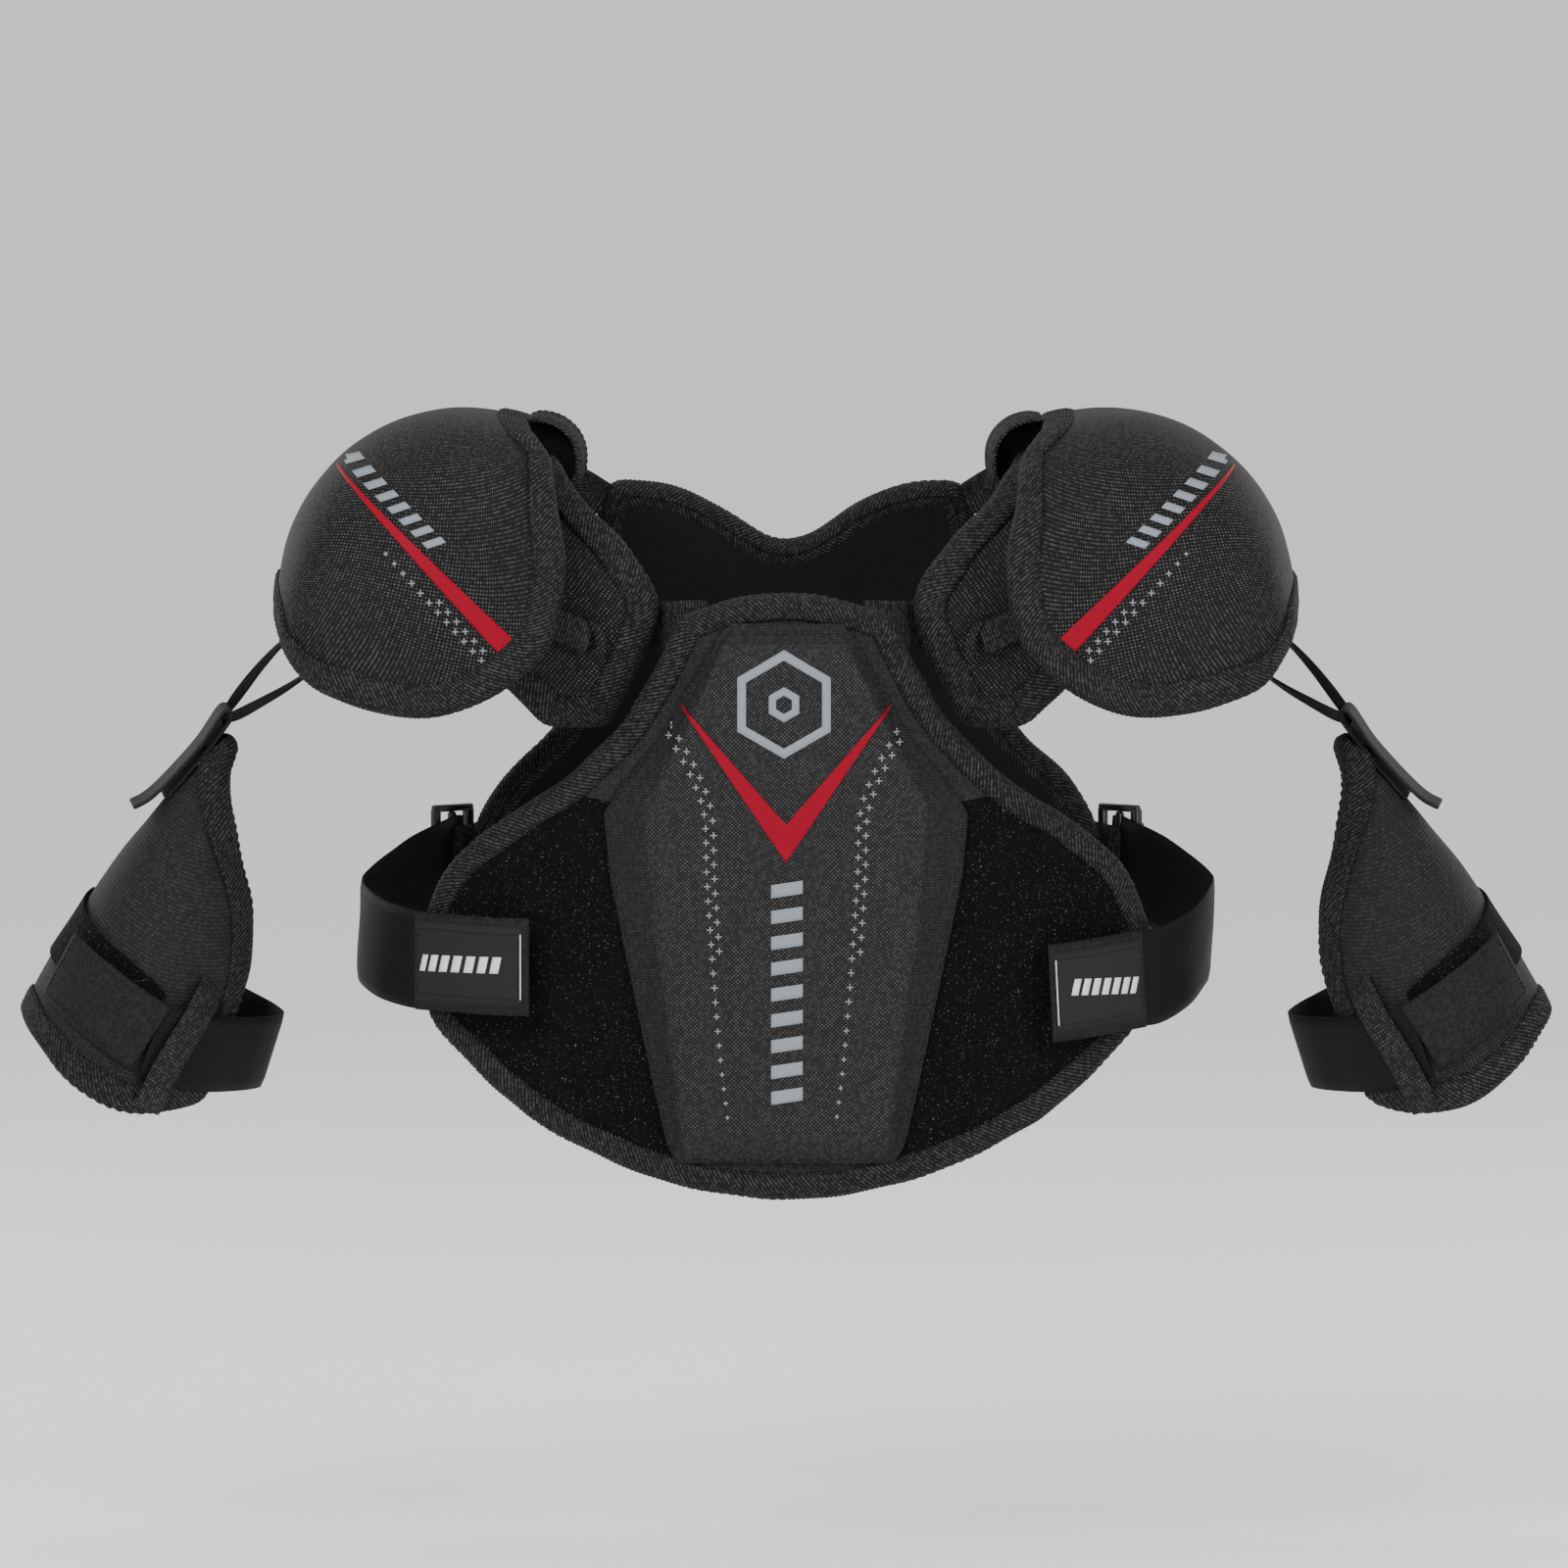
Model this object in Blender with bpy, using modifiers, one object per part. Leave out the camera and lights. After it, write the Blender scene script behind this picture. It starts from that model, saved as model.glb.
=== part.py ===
"""Ice hockey shoulder pads: chest and back pads, shoulder arches and caps, biceps guards and straps.

Sizes are in millimetres, and each mesh is scaled to metres as it is made. +Z is up, the chest
faces -Y, and the wearer's left side is at +X. The origin is in the middle of the neck opening,
level with the top of the chest pad.

Every padded piece is a bent surface, given by a function of u and v, which both run from -1 to 1.
Its layers are shells at different heights above that surface, and its edge is a rolled binding.
"""
import math

import bmesh
import bpy
from mathutils import Matrix, Vector

MM = 0.001
COLLECTION = "hockey_shoulder_pads"
SIDES = {"left": 1, "right": -1}

# Torso
TORSO_HALF_WIDTH = 230.0
CHEST_DEPTH = 100.0
CHEST_TOP_DROP = 12.0
BACK_DEPTH = 98.0
BACK_TOP_DROP = 24.0
FULLEST_Z = -190.0

# Padding, from the wearer outwards
LINER = 2.0
FOAM = 10.0
SKIN = 1.5
GAP = 0.5
LOOSE_GAP = 1.2
BINDING_RADIUS = 7.0
BINDING_INSET = 17.0

# Chest pad: right-hand edge from the collar corner to the bottom corner, as (x, z)
CHEST_TOP_Z = 0.0
CHEST_BOTTOM_Z = -309.0
CHEST_EDGE = [(54, -12), (66, -38), (84, -67), (112, -95), (144, -117),
              (171, -143), (184, -180), (179, -217), (155, -246), (130, -268)]

# Sternum plate: rows of (z, half width, half width of the raised face)
STERNUM_ROWS = [(-15, 32, 30), (-27, 38, 33), (-46, 49, 42), (-72, 63, 53), (-100, 86, 65),
                (-112, 93, 70), (-143, 90, 67), (-178, 83, 63), (-216, 75, 58),
                (-254, 67, 53), (-280, 61, 50), (-290, 59, 48)]
STERNUM_RAISE = 14.0
STERNUM_EDGE = 4.0
STERNUM_INSERT = 1.8

# Loop fields beside the sternum plate: outer edge as (x, z)
LOOP_EDGE = [(121, -116), (152, -143), (164, -180), (158, -217), (128, -250), (84, -282)]
LOOP_CLEARANCE = 5.0

# Back pad
BACK_TOP_Z = 48.0
BACK_BOTTOM_Z = -290.0
BACK_EDGE = [(92, 46), (98, 20), (98, -20), (102, -58), (124, -86), (149, -112),
             (163, -148), (161, -190), (142, -232), (112, -262)]
NECK_DIP = 32.0
NECK_DIP_WIDTH = 40.0
SPINE_HALF_WIDTH = 46.0
SPINE_TOP_Z = -50.0
SPINE_BOTTOM_Z = -235.0
SPINE_FACE_Y = 124.0
SPINE_FACE_SHARE = (0.82, 0.92)

# Shoulder arches: centre line over the shoulder as (y, z), then edges as (inner x, outer x)
ARCH_LINE = [(-76, -71), (-79, -40), (-80, -8), (-75, 20), (-60, 43), (-33, 59), (0, 65),
             (34, 67), (62, 62), (77, 45), (82, 22), (83, -4)]
ARCH_EDGES = [(90, 120), (76, 150), (65, 170), (79, 176), (101, 178), (112, 180), (117, 181),
              (115, 180), (109, 178), (101, 172), (99.5, 166), (99.5, 160)]
ARCH_FOAM = 8.0
ARCH_LENGTH = 292.0
ARCH_EDGE_RADIUS = 5.5
ARCH_INSET = 14.5
ARCH_WEB = [(99, -84.5, -25), (116, -85, -17), (138, -84.5, -8), (160, -83, 2)]
ARCH_WEB_WIDTH = 18.0

# Shoulder caps: a half barrel across the shoulder, in a frame tilted outwards
CAP_CENTRE = (182.0, 16.0)
CAP_TILT = math.radians(36.0)
CAP_HALF_SPAN = 82.5
CAP_CROWN_RADIUS = 95.0
CAP_CROWN_HEIGHT = 68.0
CAP_FRONT_Y = -116.0
CAP_CORNER_Y = 52.0
CAP_SQUARENESS = 3.0
CAP_CORNER = 4.0
CAP_ARC = 96.0
CAP_INSET = 17.0
CAP_EDGE_RADIUS = 6.0
CAP_RIM = [(-85, 17), (-87, -12), (-75, -33), (-54, -57), (-28, -71), (0, -74), (24, -70),
           (46, -53), (60, -34), (72, -10), (84, 14)]
CAP_COVER = 3.0
CAP_INSERT = 2.2
CAP_LINER = 5.0
CAP_GAP = 1.0
CAP_HINGE = (131.0, 0.0, 77.0)

# Lace loops, from inside the cap to the biceps guard's hanger
LACE_LOOP = [(290, 0, -68), (290, 11, -68), (286, 15, -63), (267, 14, -42), (248, 12, -21),
             (241, 0, -20), (234, -12, -26), (260, -14, -45), (286, -15, -64), (290, -11, -68)]
LACE_RADIUS = 1.5
LACE_HINGE = (241.0, 0.0, -20.0)
LACE_BAR = (290.0, 0.0, -68.0)

# Biceps guards: a flared leaf rolled round the arm, with rows at even steps down it
GUARD_TOP = (281.0, -78.0)
GUARD_LEAN = math.radians(17.5)
GUARD_LENGTH = 172.0
GUARD_POINT = 28.0
GUARD_ROWS = [(12, -5, 62), (19, 2, 112), (29, 4, 138), (42, 2, 146), (50, 2, 149),
              (55, 5, 150), (58, 6, 148), (57, 3, 142)]
GUARD_SPAN = 200.0
GUARD_FOAM = 6.0
GUARD_GAP = 2.0
GUARD_EDGE_RADIUS = 5.0
GUARD_INSET = 12.0
GUARD_LINER_TOP = 0.16
GUARD_FIELD_TURN = (-95, 14)
GUARD_FIELD_DOWN = (148, 106)
GUARD_FIELD_HEIGHT = 2.0
GUARD_FIELD_SKIN = 1.0
ARM_BAND = [(-101, 4.2, 160), (-125, 4.2, 160), (-150, 5, 158), (-165, 12, 156),
            (-180, 17, 154), (-195, 12, 152), (-210, 5, 150), (-228, 4.2, 148)]
ARM_BAND_WIDTH = 40.0
ARM_TAB = [(-94, 4.9, 157), (-74, 4.9, 151), (-54, 4.9, 144.5), (-34, 4.9, 138)]
ARM_TAB_WIDTH = 38.0
ARM_KEEPER = [(-121, 1.8, 127), (-117, 8.4, 137), (-112, 9.4, 158), (-108, 9.0, 179),
              (-106, 4, 193)]
ARM_KEEPER_WIDTH = 15.0
ARM_TAB_HINGE = (-97.5, 6.0, 158)
HANGER = [(322.5, -110.5), (311, -98), (299, -84), (288.2, -70.4), (287, -65.4), (292.4, -65.2),
          (303, -79), (315, -93), (327, -105), (339, -115.5)]
HANGER_WIDTH = 23.0
HANGER_THICKNESS = 1.8

# Side straps: webbing and buckle on the back pad, then elastic round to the chest pad
SIDE_STRAP_WIDTH = 50.0
SIDE_STRAP_THICKNESS = 2.0
SIDE_HINGE = (220.5, 0.0, -178.0)
SIDE_ANCHOR = [(122, 104, -146), (140, 98.5, -147), (156, 91.5, -149), (168, 81, -151)]
SIDE_REAR = [(169.6, 78.4, -151), (181, 67, -154), (195, 51, -160), (208, 30, -168),
             (216, 14, -174), (219, 0.6, -178)]
SIDE_FRONT = [(219, -0.6, -178), (216, -26, -181), (207, -52, -183), (193, -75, -184),
              (176, -89, -185)]
SIDE_TAB = [(188, -83.5, -184.6), (176, -91.8, -185), (160, -100.5, -185.5), (146, -106, -186),
            (131, -110.5, -186)]
SIDE_TAB_THICKNESS = 2.4
ANCHOR_WIDTH = 40.0
WEBBING_THICKNESS = 1.6
BUCKLE_SIZE = (28.0, 4.0, 60.0)
BUCKLE_SLOT = (5.0, 20.0, 51.0)
BUCKLE_SLOT_PLACE = 0.21
BUCKLE_PLACE = (173.0, 82.0, -151.0)
BUCKLE_TURN = math.radians(-42.0)

# Links and tethers
LINK = [(44, -84.2, -16), (58, -76, -17), (70, -66, -18), (88, -62, -19)]
LINK_WIDTH = 24.0
TETHER = [(124, 84), (117, 85), (109.5, 81.5), (105, 74), (103, 65), (104.5, 55), (112, 49)]
TETHER_WIDTH = 30.0
TETHER_THICKNESS = 2.6

FRONT_HINGE = (0.0, -106.0, -14.0)


def mix(a, b, t):
    """The value a share t of the way from a to b."""
    return a + (b - a) * t


def along(keys, t):
    """A point on the smooth curve through evenly timed keys, for t from 0 to 1."""
    keys = [Vector(k) if hasattr(k, "__len__") else Vector((k, 0.0)) for k in keys]
    last = len(keys) - 1
    i = max(0, min(int(t * last), last - 1))
    f = t * last - i
    start, stop = keys[i], keys[i + 1]
    before = keys[i - 1] if i > 0 else start * 2 - stop
    after = keys[i + 2] if i + 2 <= last else stop * 2 - start
    pull = (stop - before) * 0.5
    push = (after - start) * 0.5
    return (start * (2 * f**3 - 3 * f**2 + 1) + pull * (f**3 - 2 * f**2 + f)
            + stop * (3 * f**2 - 2 * f**3) + push * (f**3 - f**2))


def lifted(surface, height):
    """The same surface, moved outwards along its own normal."""
    def moved(u, v):
        step = 0.01
        across = surface(u + step, v) - surface(u - step, v)
        upward = surface(u, v + step) - surface(u, v - step)
        return surface(u, v) + across.cross(upward).normalized() * height
    return moved


def on_side(surface, side):
    """The surface as it is on the wearer's left (1), or its mirror image on the right (-1)."""
    if side > 0:
        return surface

    def mirrored(u, v):
        p = surface(-u, v)
        return Vector((-p.x, p.y, p.z))
    return mirrored


def placed(point, side):
    """A point given for the wearer's left, moved to the side that is wanted."""
    return Vector((point[0] * side, point[1], point[2]))


def rim(surface, columns, rows):
    """Points once round the edge of a surface."""
    steps_u = [i / columns * 2 - 1 for i in range(columns)]
    steps_v = [i / rows * 2 - 1 for i in range(rows)]
    return ([surface(u, -1) for u in steps_u] + [surface(1, v) for v in steps_v]
            + [surface(-u, 1) for u in steps_u] + [surface(-1, -v) for v in steps_v])


# --- making objects -------------------------------------------------------------------------


def clear_scene():
    """Remove whatever the file already holds."""
    for obj in list(bpy.data.objects):
        bpy.data.objects.remove(obj)


def collection(name):
    """A new collection in the scene."""
    made = bpy.data.collections.new(name)
    bpy.context.scene.collection.children.link(made)
    return made


def material(name, colour, roughness, metallic=0.0):
    """A Principled BSDF of one colour."""
    made = bpy.data.materials.new(name)
    made.use_nodes = True
    shader = made.node_tree.nodes["Principled BSDF"]
    shader.inputs["Base Color"].default_value = (*colour, 1.0)
    shader.inputs["Roughness"].default_value = roughness
    shader.inputs["Metallic"].default_value = metallic
    return made


def pivot(name, point):
    """An empty on a joint's axis, which carries the pieces of one moving body."""
    empty = bpy.data.objects.new(name, None)
    empty.location = Vector(point) * MM
    parts.objects.link(empty)
    return empty


def add(name, mesh, colour, roughness, carrier):
    """Make an object of a mesh in world space and hang it on its carrier."""
    obj = bpy.data.objects.new(name, mesh)
    obj.data.materials.append(material(name, colour, roughness))
    parts.objects.link(obj)
    if carrier is not None:
        obj.parent = carrier
        shift = carrier.location
        for vertex in mesh.vertices:
            vertex.co -= shift
    return obj


def shell(name, surface, thickness, columns, rows, look, carrier=None):
    """A sheet of one thickness whose outer face is the surface."""
    bm = bmesh.new()
    bmesh.ops.create_grid(bm, x_segments=columns, y_segments=rows, size=1.0)
    for vertex in bm.verts:
        vertex.co = surface(vertex.co.x, vertex.co.y) * MM
    mesh = bpy.data.meshes.new(name)
    bm.to_mesh(mesh)
    bm.free()
    obj = add(name, mesh, *look, carrier)
    solid = obj.modifiers.new("thickness", "SOLIDIFY")
    solid.thickness = thickness * MM
    solid.offset = -1.0
    return obj


def slab(name, outer, inner, columns, rows, look, carrier=None):
    """A solid between two unlike surfaces, with a column at each u and a row at each v."""
    bm = bmesh.new()
    grids = []
    for surface in (outer, inner):
        grids.append([[bm.verts.new(surface(u, v) * MM) for u in columns] for v in rows])
    last_u, last_v = len(columns) - 1, len(rows) - 1
    for j in range(last_v):
        for i in range(last_u):
            for grid in grids:
                bm.faces.new((grid[j][i], grid[j][i + 1], grid[j + 1][i + 1], grid[j + 1][i]))
    border = ([(0, i) for i in range(last_u)] + [(j, last_u) for j in range(last_v)]
              + [(last_v, i) for i in range(last_u, 0, -1)] + [(j, 0) for j in range(last_v, 0, -1)])
    for (j, i), (m, k) in zip(border, border[1:] + border[:1]):
        bm.faces.new((grids[0][j][i], grids[0][m][k], grids[1][m][k], grids[1][j][i]))
    bmesh.ops.recalc_face_normals(bm, faces=bm.faces)
    mesh = bpy.data.meshes.new(name)
    bm.to_mesh(mesh)
    bm.free()
    return add(name, mesh, *look, carrier)


def roll(name, points, radius, look, carrier=None, closed=True, sides=1):
    """A round roll or cord along a line of points."""
    shift = carrier.location if carrier is not None else Vector((0, 0, 0))
    curve = bpy.data.curves.new(name, "CURVE")
    curve.dimensions = "3D"
    curve.bevel_depth = radius * MM
    curve.bevel_resolution = sides
    curve.use_fill_caps = not closed
    spline = curve.splines.new("POLY")
    spline.points.add(len(points) - 1)
    for knot, point in zip(spline.points, points):
        knot.co = (*(point * MM - shift), 1.0)
    spline.use_cyclic_u = closed
    obj = bpy.data.objects.new(name, curve)
    curve.materials.append(material(name, *look))
    parts.objects.link(obj)
    obj.parent = carrier
    return obj


def strap(name, keys, width, thickness, across, count, look, side, carrier=None):
    """A flat strap along a line of keys, with its width along the direction across."""
    direction = Vector(across).normalized()

    def ribbon(u, v):
        return along(keys, (1 + u) / 2) + direction * (v * width / 2)
    outer = lifted(on_side(ribbon, side), thickness / 2)
    return shell(name, outer, thickness, count, 1, look, carrier)


# --- chest ----------------------------------------------------------------------------------


def torso_y(x, z, depth, top_drop):
    """Half the wearer's depth at a place on the chest or back, as an oval in plan."""
    here = depth - top_drop * ((z - FULLEST_Z) / (BACK_TOP_Z - FULLEST_Z)) ** 2
    return here * math.sqrt(1 - min(abs(x) / TORSO_HALF_WIDTH, 0.99) ** 2)


def panel_place(u, v, inset, edge, top, bottom):
    """Where u and v lie on a pad's flat pattern, which is cut back by inset all round."""
    share = 1 - 2 * inset / (top - bottom)
    t = (1 - v * share) / 2
    here = along(edge, t)
    way = (along(edge, t + 0.01) - along(edge, t - 0.01)).normalized()
    half = here.x - inset / max(abs(way.y), 0.45)
    middle = mix(top, bottom, t)
    return half * u, here.y + (middle - here.y) * (1 - u * u)


def chest_surface(inset):
    """The chest pad's inner face."""
    def surface(u, v):
        x, z = panel_place(u, v, inset, CHEST_EDGE, CHEST_TOP_Z, CHEST_BOTTOM_Z)
        return Vector((x, -torso_y(x, z, CHEST_DEPTH, CHEST_TOP_DROP), z))
    return surface


def sternum_at(v, column):
    """A value of the sternum plate's rows, for v from the bottom row (-1) to the top row (1)."""
    place = (1 - v) / 2 * (len(STERNUM_ROWS) - 1)
    i = min(int(place + 1e-6), len(STERNUM_ROWS) - 2)
    return mix(STERNUM_ROWS[i][column], STERNUM_ROWS[i + 1][column], place - i)


def sternum_width(z):
    """Half the width of the sternum plate at a height below its widest row."""
    wide, low = STERNUM_ROWS[5], STERNUM_ROWS[-1]
    return mix(wide[1], low[1], (z - wide[0]) / (low[0] - wide[0]))


def sternum_surface(height, rise):
    """The sternum plate's face: u is 1 at its edge and a half at the edge of the raised face."""
    def surface(u, v):
        z = sternum_at(v, 0)
        half, face = sternum_at(v, 1), sternum_at(v, 2)
        share = abs(u) * 2
        x = face * share if share <= 1 else mix(face, half, share - 1)
        ends = v > 0.99 or v < -0.99
        up = STERNUM_EDGE if ends or share > 1.99 else STERNUM_RAISE
        depth = torso_y(x, z, CHEST_DEPTH, CHEST_TOP_DROP) + height + up * rise
        return Vector((math.copysign(x, u), -depth, z))
    return surface


def loop_surface(height):
    """The brushed loop field beside the sternum plate, on the wearer's left."""
    def surface(u, v):
        outer = along(LOOP_EDGE, (1 - v) / 2)
        inner = sternum_width(outer.y) + LOOP_CLEARANCE
        x = mix(inner, outer.x, (u + 1) / 2)
        return Vector((x, -torso_y(x, outer.y, CHEST_DEPTH, CHEST_TOP_DROP) - height, outer.y))
    return surface


def build_chest(carrier):
    """Liner, foam, binding, plastic insert, moulded plate and loop fields."""
    liner_top = LINER
    foam_top = liner_top + GAP + FOAM
    surface = chest_surface(BINDING_INSET)
    shell("chest_liner", lifted(surface, liner_top), LINER, 8, 12, DARK, carrier)
    shell("chest_foam", lifted(surface, foam_top), FOAM, 8, 12, FOAM_LOOK, carrier)
    middle = (foam_top + SKIN) / 2
    path = rim(lifted(chest_surface(BINDING_RADIUS), middle), 8, 12)
    roll("chest_binding", path, BINDING_RADIUS, TWILL, carrier)
    base = foam_top + LOOSE_GAP
    columns = [-1, -0.5, -0.25, 0, 0.25, 0.5, 1]
    count = len(STERNUM_ROWS) - 1
    rows = [1 - 2 * i / count for i in range(count, -1, -1)]
    insert_top = base + STERNUM_INSERT
    slab("sternum_insert", sternum_surface(insert_top, 0), sternum_surface(base, 0),
         columns, rows, PLASTIC, carrier)
    slab("sternum_plate", sternum_surface(insert_top + GAP, 1), sternum_surface(insert_top + GAP, 0),
         columns, rows, NYLON, carrier)
    for label, side in SIDES.items():
        skin = on_side(loop_surface(base + SKIN), side)
        shell("chest_loop_" + label, skin, SKIN, 3, 8, LOOP, carrier)


# --- back -----------------------------------------------------------------------------------


def back_surface(inset):
    """The back pad's inner face, with the dip for the neck in its top edge."""
    def surface(u, v):
        x, z = panel_place(-u, v, inset, BACK_EDGE, BACK_TOP_Z, BACK_BOTTOM_Z)
        near_top = ((1 + v) / 2) ** 3
        z -= NECK_DIP * math.exp(-((x / NECK_DIP_WIDTH) ** 2)) * near_top
        return Vector((x, torso_y(x, z, BACK_DEPTH, BACK_TOP_DROP), z))
    return surface


def build_back():
    """Liner, foam, spine plate and binding."""
    foam_top = LINER + GAP + FOAM
    surface = back_surface(BINDING_INSET)
    shell("back_liner", lifted(surface, LINER), LINER, 10, 12, DARK)
    shell("back_foam", lifted(surface, foam_top), FOAM, 10, 12, FOAM_LOOK)
    middle = (foam_top + LINER) / 2
    roll("back_binding", rim(lifted(back_surface(BINDING_RADIUS), middle), 10, 12), BINDING_RADIUS, TWILL)

    def place(u, v):
        return -SPINE_HALF_WIDTH * u, mix(SPINE_BOTTOM_Z, SPINE_TOP_Z, (v + 1) / 2)

    def seat(u, v):
        x, z = place(u, v)
        return Vector((x, torso_y(x, z, BACK_DEPTH, BACK_TOP_DROP) + foam_top + LOOSE_GAP, z))

    def face(u, v):
        x, z = place(u * SPINE_FACE_SHARE[0], v * SPINE_FACE_SHARE[1])
        return Vector((x, SPINE_FACE_Y, z))
    steps = [-1, -0.5, 0, 0.5, 1]
    slab("spine_plate", face, seat, steps, steps, NYLON)


# --- shoulder arches ------------------------------------------------------------------------


def arch_surface(inset):
    """The outer face of the arch on the wearer's left, from the chest over the shoulder."""
    def surface(u, v):
        t = 0.5 + v * (0.5 - inset / ARCH_LENGTH)
        line = along(ARCH_LINE, t)
        edges = along(ARCH_EDGES, t)
        return Vector((mix(edges.x + inset, edges.y - inset, (u + 1) / 2), line.x, line.y))
    return surface


def build_arch(label, side):
    """Foam, liner, binding and the webbing that comes out from under the cap."""
    body = on_side(arch_surface(ARCH_INSET), side)
    shell("arch_foam_" + label, body, ARCH_FOAM, 4, 14, NYLON)
    shell("arch_liner_" + label, lifted(body, -ARCH_FOAM - GAP), LINER, 4, 14, DARK)
    edge = lifted(on_side(arch_surface(ARCH_EDGE_RADIUS), side), -(ARCH_FOAM + LINER) / 2)
    roll("arch_binding_" + label, rim(edge, 3, 14), ARCH_EDGE_RADIUS, TWILL)
    strap("arch_webbing_" + label, ARCH_WEB, ARCH_WEB_WIDTH, WEBBING_THICKNESS, (-0.35, 0, 0.94),
          4, WEBBING, side)


# --- shoulder caps --------------------------------------------------------------------------


def cap_to_world(lateral, height, y):
    """A place in the cap's tilted frame, in the object's own frame."""
    c, s = math.cos(CAP_TILT), math.sin(CAP_TILT)
    x = CAP_CENTRE[0] - lateral * c + height * s
    z = CAP_CENTRE[1] + lateral * s + height * c
    return Vector((x, y, z))


def cap_point(u, v):
    """The outer face of the cap on the wearer's left: v runs from its front rim to its back rim."""
    lateral = -CAP_HALF_SPAN * u
    crown = math.sqrt(CAP_CROWN_RADIUS ** 2 - lateral ** 2) + CAP_CROWN_HEIGHT - CAP_CROWN_RADIUS
    end = along(CAP_RIM, (1 - u) / 2)
    end_y = mix(CAP_CORNER_Y, -CAP_FRONT_Y, math.sqrt(max(1 - abs(u) ** CAP_CORNER, 0.0)))
    share = min(abs(v), 1.0)
    near, far = share ** 1.5, (1 - share) ** 1.5
    angle = math.pi / 2 * near / (near + far)
    out = math.sin(angle) ** (2 / CAP_SQUARENESS)
    down = 1 - max(math.cos(angle), 0.0) ** (2 / CAP_SQUARENESS)
    y = math.copysign(end_y * out, v)
    return cap_to_world(mix(lateral, end.x, down), mix(crown, end.y, down), y)


def cap_share(u, inset):
    """The share of a line over the cap, from crown to rim, left when the rim is cut back by inset."""
    line = [cap_point(u, -i / 8) for i in range(9)]
    length = sum((b - a).length for a, b in zip(line, line[1:]))
    edge = cap_point(min(u + 0.02, 1), -1) - cap_point(max(u - 0.02, -1), -1)
    way = line[-1] - line[-2]
    slant = edge.length * way.length / edge.cross(way).length
    return 1 - inset * min(slant, 2.2) / length


def cap_surface(inset):
    """The cap's outer face, cut back by inset all round."""
    def surface(u, v):
        u *= 1 - inset / CAP_ARC
        return cap_point(u, v * cap_share(u, inset))
    return surface


def build_cap(label, side, carrier):
    """Cover, plastic cap, foam liner and rim binding."""
    body = on_side(cap_surface(CAP_INSET), side)
    depth = 0.0
    for name, thickness, look in (("cap_cover_", CAP_COVER, NYLON),
                                  ("cap_insert_", CAP_INSERT, PLASTIC),
                                  ("cap_liner_", CAP_LINER, DARK)):
        shell(name + label, lifted(body, -depth), thickness, 8, 12, look, carrier)
        depth += thickness + CAP_GAP
    edge = lifted(on_side(cap_surface(CAP_EDGE_RADIUS), side), -depth / 2)
    roll("cap_binding_" + label, rim(edge, 8, 8), CAP_EDGE_RADIUS, TWILL, carrier)


def build_lace(label, side, carrier):
    """The cord loop that hangs from the cap and carries the guard."""
    keys = LACE_LOOP + LACE_LOOP[:1]
    count = 2 * len(LACE_LOOP)
    points = [placed(along(keys, i / count), side) for i in range(count)]
    roll("lace_loop_" + label, points, LACE_RADIUS, WEBBING, carrier, sides=2)


# --- biceps guards --------------------------------------------------------------------------


def guard_point(degrees, height, down):
    """A place on the guard: degrees round the arm (front negative), height above its outer face."""
    radius, shift, _ = along(GUARD_ROWS, min(down / GUARD_SPAN, 1.0))
    turn = math.radians(degrees)
    out = shift + (radius + height) * math.cos(turn)
    c, s = math.cos(GUARD_LEAN), math.sin(GUARD_LEAN)
    x = GUARD_TOP[0] + s * down + c * out
    z = GUARD_TOP[1] - c * down + s * out
    return Vector((x, (radius + height) * math.sin(turn), z))


def guard_surface(inset, top=0.0):
    """The guard's outer face on the wearer's left, cut back by inset, and by a share of its top."""
    def surface(u, v):
        share = mix(1, top, (1 + v) / 2)
        radius, _, wrap = along(GUARD_ROWS, share)
        turn = u * (wrap - math.degrees(inset / radius))
        bottom = GUARD_LENGTH + GUARD_POINT * math.sin(math.radians(turn)) ** 2 - inset
        return guard_point(turn, 0, mix(inset, bottom, share))
    return surface


def guard_strip(name, keys, width, thickness, count, look, side, carrier):
    """A strap laid on the guard, its middle line given as (degrees, height, down)."""
    def ribbon(u, v):
        degrees, height, down = along(keys, (1 + u) / 2)
        middle = guard_point(degrees, height, down)
        ahead = along(keys, min((1 + u) / 2 + 0.01, 1.0))
        behind = along(keys, max((1 + u) / 2 - 0.01, 0.0))
        way = (guard_point(*ahead) - guard_point(*behind)).normalized()
        outward = guard_point(degrees, height + 1, down) - middle
        return middle + outward.cross(way).normalized() * (v * width / 2)
    outer = lifted(on_side(ribbon, side), thickness / 2)
    shell(name, outer, thickness, count, 1, look, carrier)


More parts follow.
